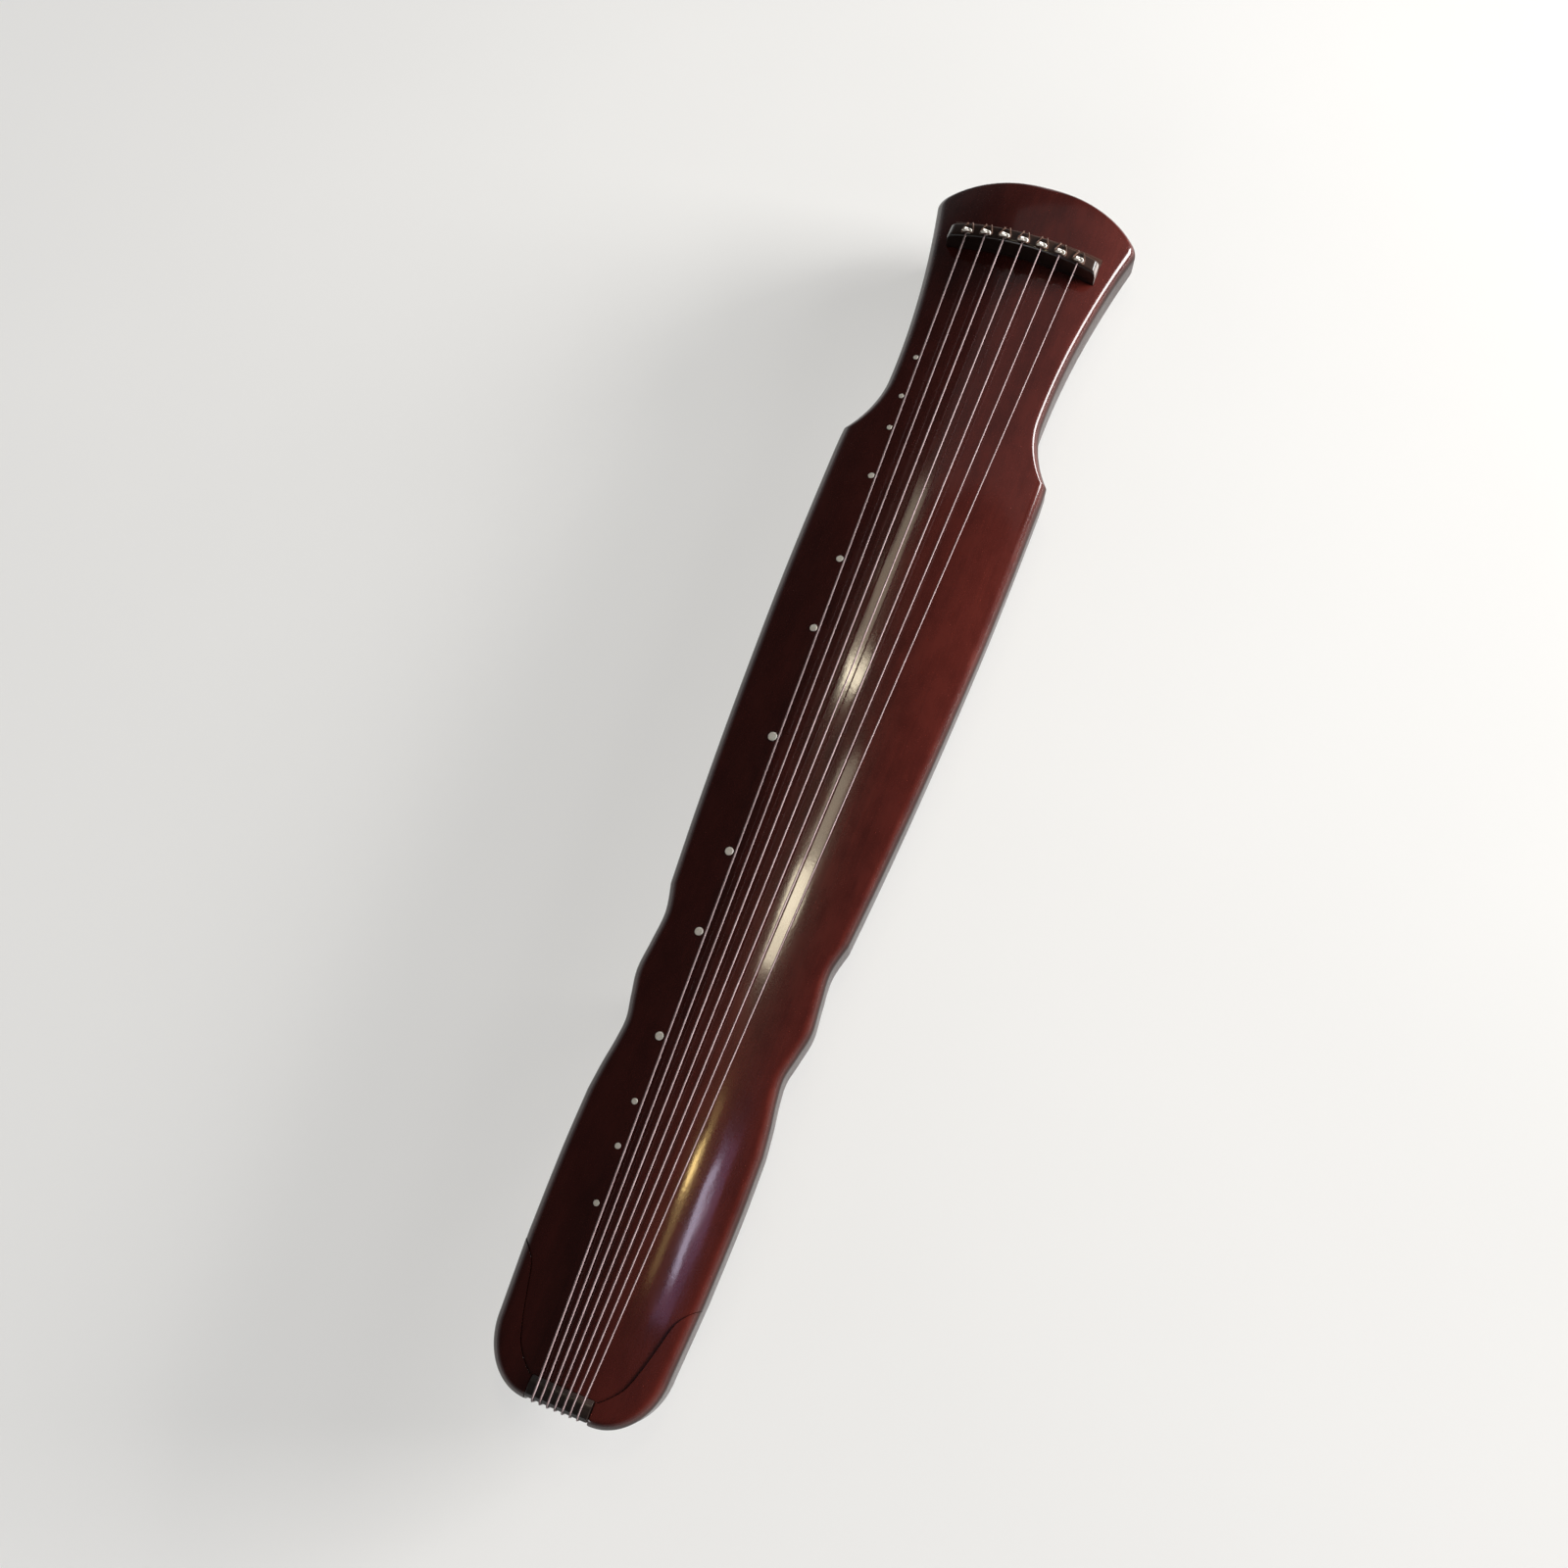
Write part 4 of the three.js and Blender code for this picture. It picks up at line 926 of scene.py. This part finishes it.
def make_bridge():
    """The bridge, with a round front edge and ends that round down to the face."""
    def section(y):
        bottom = face_z(0, y) - GROOVE_DEPTH + GAP
        past = np.clip((abs(y) - BRIDGE_HALF + END_ROUND) / END_ROUND, 0, 1)
        top = bridge_top(y) - END_ROUND * (1 - math.sqrt(1 - past ** 2))
        front = rounded(BRIDGE_FRONT, top, -FRONT_ROUND, -FRONT_ROUND, 9)
        back = rounded(-BRIDGE_BACK, top, BACK_ROUND, -BACK_ROUND, 7)
        return [(-BRIDGE_BACK, bottom), (BRIDGE_FRONT, bottom), *front, *back[::-1]]
    ends = BRIDGE_HALF - END_ROUND * (1 - np.sin(quarter(13)))
    middle = np.linspace(END_ROUND - BRIDGE_HALF, BRIDGE_HALF - END_ROUND, 70)[1:-1]
    places = np.concatenate([-ends[::-1], middle, ends])
    place(make("bridge_bar", *across(places, section), BRIDGE_WOOD), "rosewood", "bridge")


def make_strip():
    """The strip behind the bridge, with a flared hole for each tuning cord."""
    def section(y):
        bottom = face_z(0, y) - GROOVE_DEPTH + GAP
        top = face_z(-STRIP_BACK, y) + STRIP_PROUD
        start, end = -STRIP_BACK, -BRIDGE_BACK - 2 * GAP
        corner = rounded(start, top, STRIP_ROUND, -STRIP_ROUND, 7)
        return [(start, bottom), (end, bottom), (end, top), *corner[::-1]]
    piece = make("strip", *across(np.linspace(-BRIDGE_HALF, BRIDGE_HALF, GROOVE_PLACES), section), STRIP_WOOD)
    holes = []
    flare = CORD_HOLE + CORD_HOLE_FLARE
    for index in range(STRINGS):
        y = bridge_y(index)
        top = float(face_z(-STRIP_BACK, y)) + STRIP_PROUD
        profile = [(CORD_HOLE, CROWN_Z - 42), (CORD_HOLE, top - 0.7), (flare, top + 0.4),
                   (flare, CROWN_Z + OVER + 4)]
        holes.append(turned(CORD_U, y, profile, 32))
    cut(piece, holes)
    place(piece, "rosewood", "cord_strip")


def eased_bar(section):
    """A bar across the tail, as wide as the nut, whose section shrinks at its eased ends."""
    ring = np.array(section, float)
    middle = (ring.max(0) + ring.min(0)) / 2
    reach = (ring.max(0) - ring.min(0)) / 2
    inward, shrink = NUT_EASE * (1 - np.cos(quarter(6))), NUT_EASE * (1 - np.sin(quarter(6)))
    rings = []
    for y, less in zip([*(inward - NUT_HALF), *(NUT_HALF - inward[::-1])], [*shrink, *shrink[::-1]]):
        scaled = middle + (ring - middle) * (reach - less) / reach
        rings.append(at(scaled[:, 0], y, scaled[:, 1]))
    return loft(rings)


def make_nut():
    """The tail nut: its top rises to the crest and bends down over the tail's end."""
    start, bottom = STRING_LENGTH - NUT_BACK, NUT_TOP - NUT_PROUD - NUT_DEPTH
    bend = rounded(TAIL_FACE_U, NUT_TOP - NUT_DROP, -NUT_ROUND, -NUT_ROUND, 12)[::-1]
    crest = spline([(start, NUT_TOP - NUT_PROUD), (STRING_LENGTH - NUT_BACK / 2, NUT_TOP - NUT_DROP),
                    (STRING_LENGTH, NUT_TOP), bend[0]], 24)[:-1]
    section = [(start, bottom), *crest, *bend, (TAIL_FACE_U, bottom)]
    place(make("nut", *eased_bar(section), TAIL_WOOD), "rosewood", "tail_nut")


def make_support():
    """The nut support, round where the strings pass under the tail."""
    start, top = TAIL_FACE_U - SUPPORT_THICKNESS, LEG_HEIGHT + SUPPORT_HEIGHT
    bend = rounded(TAIL_FACE_U, SUPPORT_BOTTOM, -SUPPORT_ROUND, SUPPORT_ROUND, 12)
    heel = rounded(start, SUPPORT_BOTTOM, SUPPORT_HEEL, SUPPORT_HEEL, 7)[::-1]
    section = [(start, top), (TAIL_FACE_U, top), *bend, *heel]
    place(make("support", *eased_bar(section), TAIL_WOOD), "rosewood", "nut_support")


def make_peg(index):
    """A turned peg with a bore, a seat, a neck, a collar and a fluted grip."""
    # Height, radius and depth of the flutes, as shares of the length and the radius
    shares = spline([(-0.07, 0.92, 0), (-0.1, 0.79, 0), (-0.13, 0.72, 0), (-0.24, 0.7, 0), (-0.35, 0.74, 0),
                     (-0.4, 0.9, 0), (-0.43, 1, 0), (-0.46, 0.985, 0), (-0.49, 0.99, 0.06), (-0.54, 1, 0.16),
                     (-0.7, 0.96, 0.17), (-0.88, 0.87, 0.16), (-0.96, 0.78, 0.1), (-0.99, 0.7, 0.04),
                     (-1, 0.6, 0), (-1, 0.35, 0)], 75)
    sides = 72
    wave = (1 - np.cos(PEG_FLUTES * whole(sides))) / 2
    profile = [(PEG_BORE, PEG_TOP - PEG_BORE_DEPTH), (PEG_BORE, PEG_TOP - 0.5), (PEG_BORE + 0.5, PEG_TOP),
               (PEG_RADIUS * 0.87, PEG_TOP), (PEG_RADIUS * 0.92, PEG_TOP - 0.4)]
    for height, radius, flute in shares:
        profile.append((PEG_RADIUS * radius * (1 - flute * wave), PEG_TOP + height * PEG_LENGTH))
    shape = turned(CORD_U, bridge_y(index), profile, sides)
    piece = make(f"tuning_peg_{index + 1}", *shape, UPRIGHT_WOOD, ROUND_CREASE)
    place(piece, "rosewood", f"peg_{index + 1}", body=f"peg_{index + 1}")


def make_fitting(name, shape, tenon, node):
    """A fitting of upright wood with a square tenon on top."""
    piece = make(name, *shape, UPRIGHT_WOOD)
    cut(piece, [tenon], ROUND_CREASE, "UNION")
    place(piece, "rosewood", node)


def make_guard(name, side):
    # Height, length and thickness, as shares of the whole
    shares = spline([(0, 0.54, 0.7), (0.03, 0.59, 0.76), (0.1, 0.64, 0.82), (0.4, 0.68, 0.8), (0.8, 0.86, 0.9),
                     (0.97, 0.99, 0.99), (1, 1, 1)], 36)
    y = side * GUARD_Y
    angle = whole(72)
    out = np.sign(np.sin(angle)) * np.sqrt(np.abs(np.sin(angle)))
    rings = [at(CORD_U + GUARD_HALF[0] * length * np.cos(angle), y + GUARD_HALF[1] * thickness * out,
                (LEG_HEIGHT - GAP) * height) for height, length, thickness in shares]
    tenon = post(CORD_U, y, *GUARD_TENON[:2], (LEG_HEIGHT - OVER, LEG_HEIGHT + GUARD_TENON[2]))
    make_fitting("guard_" + name, loft(rings), tenon, "peg_guard_" + name)


def make_foot(name, side):
    """A goose foot: a turned base, the waist that the strings are wound on, and a collar."""
    y, top, waist = side * FOOT_Y, LEG_HEIGHT - GAP, FOOT_WAIST
    base = spline([(12.4, 0.05), (12.85, 0.6), (13, 1.5), (13, 2.6), (12.6, 3.4), (11, 4.1), (9.2, 4.7),
                   (waist, 5.4), (waist, 7)], 32)
    collar = spline([(waist, 22.8), (8.6, 23.5), (10.2, 23.95), (11.3, 24.3), (11.5, 25), (11.5, 26.2),
                     (11.2, top)], 24)
    shape = turned(FOOT_U, y, [(12, 0), *base, (waist, 21), *collar], 64)
    tenon = post(FOOT_U, y, FOOT_TENON, FOOT_TENON, (top - OVER, FOOT_TENON_TOP))
    make_fitting("foot_" + name, shape, tenon, "goose_foot_" + name)


make_bridge()
make_strip()
make_nut()
make_support()
for side_name, side_sign in (("left", 1), ("right", -1)):
    make_guard(side_name, side_sign)
    make_foot(side_name, side_sign)
for number in range(STRINGS):
    make_peg(number)


# Studs

def make_stud(index):
    """A disc with an eased edge, a little proud of the face."""
    radius = stud_place(index)[2]
    ease = rounded(radius, STUD_PROUD, -STUD_EASE, -STUD_EASE, 6)
    profile = [(radius, -STUD_DEPTH), *ease, (radius * 0.6, STUD_PROUD), (radius * 0.2, STUD_PROUD)]
    piece = make(f"hui_{index + 1}", *stud_shape(index, profile), SHELL, ROUND_CREASE)
    place(piece, "shell", f"stud_{index + 1}")


for number in range(len(STUD_SHARES)):
    make_stud(number)


# Strings: from the knot over the bridge and the nut, under the tail and round a foot

def winding(index):
    """Three turns round a foot, and the cut end."""
    side, inner, outer = next(foot for foot in FOOT_STRINGS if index in foot[1] + foot[2])
    diameter = STRING_DIAMETERS[index]
    waist_top = LEG_HEIGHT - GAP - FOOT_COLLAR - TURN_GAP - STRING_DIAMETERS[0]
    radius, pitch = FOOT_WAIST + GAP + diameter / 2, diameter + TURN_GAP
    if index == inner[1]:
        start, rise = FOOT_BASE + GAP + diameter / 2, pitch
    elif index == inner[0]:
        start, rise = waist_top, -pitch
    else:
        radius += max(STRING_DIAMETERS[item] for item in inner) + TURN_GAP
        taken = sum((TURNS + 1) * (STRING_DIAMETERS[item] + TURN_GAP) for item in outer[:outer.index(index)])
        start = waist_top - (STRING_DIAMETERS[inner[0]] + diameter) / 2 - TURN_GAP - taken
        rise = -pitch
    angle = np.linspace(0, TURNS * TURN, TURNS * TURN_STEPS + 1)
    turns = at(FOOT_U - radius * np.sin(angle), side * (FOOT_Y - radius * np.cos(angle)),
               start + rise * angle / TURN)
    return np.concatenate([turns, turns[-1:] + (diameter, 0, 0)])


def string_route(index):
    radius = STRING_DIAMETERS[index] / 2
    start_y, end_y = bridge_y(index), nut_y(index)
    crest, over = float(bridge_top(start_y)) + GAP + radius, NUT_TOP + GAP + radius
    share = np.linspace(0, 1, 61)
    speaking = at(share * STRING_LENGTH, start_y + (end_y - start_y) * share, crest + (over - crest) * share)
    clear = GAP + radius
    nut, support = NUT_ROUND + clear, SUPPORT_ROUND + clear
    bends = [*rounded(TAIL_FACE_U + clear, NUT_TOP - NUT_DROP + clear, -nut, -nut, 12)[::-1],
             *rounded(TAIL_FACE_U + clear, SUPPORT_BOTTOM - clear, -support, support, 12)]
    down = [at(u, end_y, z) for u, z in bends]
    return np.concatenate([[at(KNOT_U, start_y, crest)], speaking, down, winding(index)])


def knot_shape(centre):
    """A small tied knot: a thread that crosses itself in three lobes, round a core."""
    t = np.linspace(0, TURN, 97)
    out = 1 + TIED_LOBE * np.cos(3 * t)
    loop = np.stack([out * np.cos(2 * t), out * np.sin(2 * t), TIED_LOBE * np.sin(3 * t)], -1)
    loop *= (np.array(TIED_RADII) - TIED_THREAD) / (1 + TIED_LOBE, 1 + TIED_LOBE, TIED_LOBE)
    angle = whole(24)
    rings = []
    for height in np.linspace(-0.98, 0.98, 13):
        wide = math.sqrt(1 - height ** 2)
        rings.append(np.stack([TIED_CORE[0] * wide * np.cos(angle), TIED_CORE[1] * wide * np.sin(angle),
                               np.full(24, TIED_CORE[2] * height)], -1))
    points, faces = together([tube(loop, TIED_THREAD, 10), loft(rings)])
    return points + centre, faces


def make_string(index):
    """A string, and its knot as a piece of its own."""
    route = string_route(index)
    radius = STRING_DIAMETERS[index] / 2 + STRING_EXTRA[index]
    piece = make(f"silk_string_{index + 1}", *tube(route, radius, STRING_SIDES), STRING, ROUND_CREASE,
                 np.repeat(lengths(route), STRING_SIDES))
    place(piece, "string", f"string_{index + 1}")
    y = bridge_y(index)
    centre = at(KNOT_U + TIED_FORWARD, y, float(bridge_top(y)) + GAP + KNOT_RADII[2])
    knot = make(f"knot_{index + 1}", *knot_shape(centre), KNOT, THREAD_CREASE)
    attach(knot, "root")


# Tuning cords: two twisted strands each, from the peg up and round the knot

def strand(index, side):
    """Points of one strand: three inside the body, then up the bridge's back, along its top and half round."""
    y = bridge_y(index)
    rest = GAP + CORD_RADIUS
    around = BACK_ROUND + rest
    slant = around * math.sqrt(0.5)
    corner = BACK_ROUND - BRIDGE_BACK
    over = rest + STRING_DIAMETERS[index] + GAP
    loop_y = KNOT_RADII[1] + rest
    loop_u = KNOT_U + KNOT_RADII[0] + rest
    surface = float(face_z(CORD_U, y)) + STRIP_PROUD
    near = side * (CORD_RADIUS + STRAND_GAP)
    inside = [(CORD_U, PEG_TOP - PEG_BORE_DEPTH + 2 * CORD_RADIUS), (CORD_U, PEG_TOP),
              (CORD_U, surface - 2 * CORD_RADIUS), (CORD_U + CORD_RADIUS / 2, surface + CORD_RADIUS)]
    # u, share of the loop's half width, and height above the bridge's top
    bends = [(corner - around, 0.42, -around), (corner - slant, 0.46, slant - BACK_ROUND), (corner, 0.52, rest),
             ((corner + KNOT_U) / 2, 0.82, rest), (KNOT_U, 1, rest),
             (KNOT_U + (loop_u - KNOT_U) * 0.6, 0.85, rest),
             (KNOT_U + (loop_u - KNOT_U) * 0.93, 0.45, rest + (over - rest) * 0.75), (loop_u, 0, over)]
    points = [at(u, y + near, z) for u, z in inside]
    for u, share, lift in bends:
        out = side * share * loop_y
        points.append(at(u, y + out, float(bridge_top(y + out)) + lift))
    return points


def make_cord(index):
    """A cord of three twisted plies."""
    up, down = strand(index, 1), strand(index, -1)[::-1][1:]
    bent = even_spline([*up[3:], *down[:-3]], 8)
    path = resample(np.concatenate([up[:3], bent, down[-3:]]), CORD_STEP)
    side, rise = frames(path)
    turn = lengths(path) * TURN / PLY_PITCH
    plies = []
    for phase in (0, TURN / 3, 2 * TURN / 3):
        offset = np.cos(turn + phase)[:, None] * side + np.sin(turn + phase)[:, None] * rise
        plies.append(tube(path + PLY_OFFSET * offset, PLY_RADIUS, 6))
    piece = make(f"twisted_cord_{index + 1}", *together(plies), CORD, THREAD_CREASE)
    place(piece, "cord", f"tuning_cord_{index + 1}")


for number in range(STRINGS):
    make_string(number)
    make_cord(number)

for node, look in (("heaven_post", INNER_WOOD), ("earth_post", INNER_WOOD), ("phoenix_tongue", LACQUER)):
    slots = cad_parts[node].data.materials
    slots.clear()
    slots.append(look)


# Camera, floor and light

def add_camera():
    lens = bpy.data.cameras.new("camera")
    lens.sensor_width = SENSOR
    lens.lens = SENSOR * FOCAL_PIXELS / PHOTO_PIXELS
    camera = bpy.data.objects.new("camera", lens)
    bpy.context.scene.collection.objects.link(camera)
    axes = Matrix([CAMERA_RIGHT, -Vector(CAMERA_DOWN), -Vector(CAMERA_AHEAD)]).transposed()
    camera.matrix_world = Matrix.Translation(CAMERA_AT) @ axes.to_4x4()
    bpy.context.scene.camera = camera


def add_floor():
    """A pale floor that looks lighter to the camera than the light on it makes it."""
    n = finish("floor", Roughness=0.6)
    cloud = n.noise((1.5, 1.5, 1.5))
    n.shine(Base_Color=n.blend(n.spread(cloud, 0.3, 0.7), *FLOOR_GREY))
    rays = n.add("LightPath").outputs
    seen = n.math("MAXIMUM", n.math("MAXIMUM", rays["Is Camera Ray"], rays["Is Glossy Ray"]),
                  rays["Is Transmission Ray"])
    paper = n.add("Emission", Color=FLOOR_WHITE, Strength=1.0).outputs[0]
    lifted = n.add("MixShader", _0=n.math("MULTIPLY", seen, FLOOR_LIFT), _1=n.shader.outputs[0], _2=paper)
    n.put(lifted.outputs[0], n.tree.nodes["Material Output"].inputs["Surface"])
    corners = [(x * FLOOR_HALF, y * FLOOR_HALF, 0) for x, y in ((-1, -1), (1, -1), (1, 1), (-1, 1))]
    floor = make("floor", corners, [(0, 1, 2, 3)], n.owner)


def add_lamp(name, place_at, aim, size, power, colour=(1, 1, 1), along=(1, 0, 0), mirrored=True):
    """A rectangular lamp; its first side lies along the given direction."""
    light = bpy.data.lights.new(name, "AREA")
    light.shape = "RECTANGLE"
    light.size, light.size_y = size
    light.energy = power
    light.color = colour
    lamp = bpy.data.objects.new(name, light)
    lamp.visible_camera = False
    lamp.visible_glossy = mirrored
    bpy.context.scene.collection.objects.link(lamp)
    back = (Vector(place_at) - Vector(aim)).normalized()
    side = Vector(along)
    side = (side - back * side.dot(back)).normalized()
    axes = Matrix([side, back.cross(side), back]).transposed()
    lamp.matrix_world = Matrix.Translation(place_at) @ axes.to_4x4()


def add_world():
    """A studio that is dim overhead and brighter towards the horizon."""
    n = Nodes(bpy.data.worlds.new("studio"), "Background")
    height = n.add("SeparateXYZ", Vector=n.where.outputs["Generated"]).outputs["Z"]
    fade = n.add("MapRange", {"interpolation_type": "SMOOTHSTEP"}, Value=height, From_Min=0.05, From_Max=0.6,
                 To_Min=0.35, To_Max=0.03)
    n.shine(Color=(0.97, 0.98, 1.0, 1), Strength=fade.outputs[0])
    bpy.context.scene.world = n.owner


def add_lamps():
    """The key light comes low from the right. The other lamps mainly give the lacquer its reflections."""
    warm, golden, cool, violet = (1.0, 0.89, 0.66), (1.0, 0.72, 0.28), (0.84, 0.80, 1.0), (0.72, 0.48, 1.0)
    middle = (0, 0, 0)
    add_lamp("key", (2.6, -4.3, 0.78), middle, (3.0, 1.3), 1080, (1.0, 0.97, 0.94), (0.86, 0.52, 0), False)
    add_lamp("rim_lamp", (3.08, -2.75, 1.45), (0.42, -0.09, 0.08), (1.55, 1.0), 64, along=(0.7, 0.7, 0))
    add_lamp("crest_lamp", (-3.2, 0.45, 1.55), (0.5, 0, 0), (1.2, 1.0), 13, along=(0, 1, 0))
    add_lamp("haze", (1.75, -0.3, 1.6), (0.4, 0, 0), (1.0, 1.6), 0.6)
    add_lamp("front_lamp", (0.80, 0.30, 1.90), (0.1, 0, 0), (0.06, 0.26), 1.0, warm)
    add_lamp("front_glow", (1.00, 0.37, 1.85), (0.1, 0, 0), (0.50, 0.16), 0.6, warm)
    add_lamp("middle_lamp", (0.24, -0.06, 2.03), (-0.2, 0, 0), (0.24, 0.22), 2.0, warm)
    add_lamp("middle_glow", (0.42, -0.10, 2.01), (-0.1, 0, 0), (0.40, 0.20), 0.85, warm)
    add_lamp("tail_lamp", (-0.34, -0.16, 2.07), (-0.4, 0, 0), (0.10, 0.06), 0.45, golden)
    add_lamp("tail_glow", (-0.38, -0.17, 2.06), (-0.4, 0, 0), (0.40, 0.12), 0.25, golden)
    add_lamp("window", (-0.44, -0.42, 2.03), (-0.4, 0, 0), (0.26, 0.08), 0.4, cool)
    add_lamp("window_glow", (-0.46, -0.47, 2.02), (-0.4, 0, 0), (0.42, 0.22), 0.24, violet)


add_camera()
add_floor()
add_world()
add_lamps()

scene = bpy.context.scene
scene.view_settings.view_transform = "Standard"
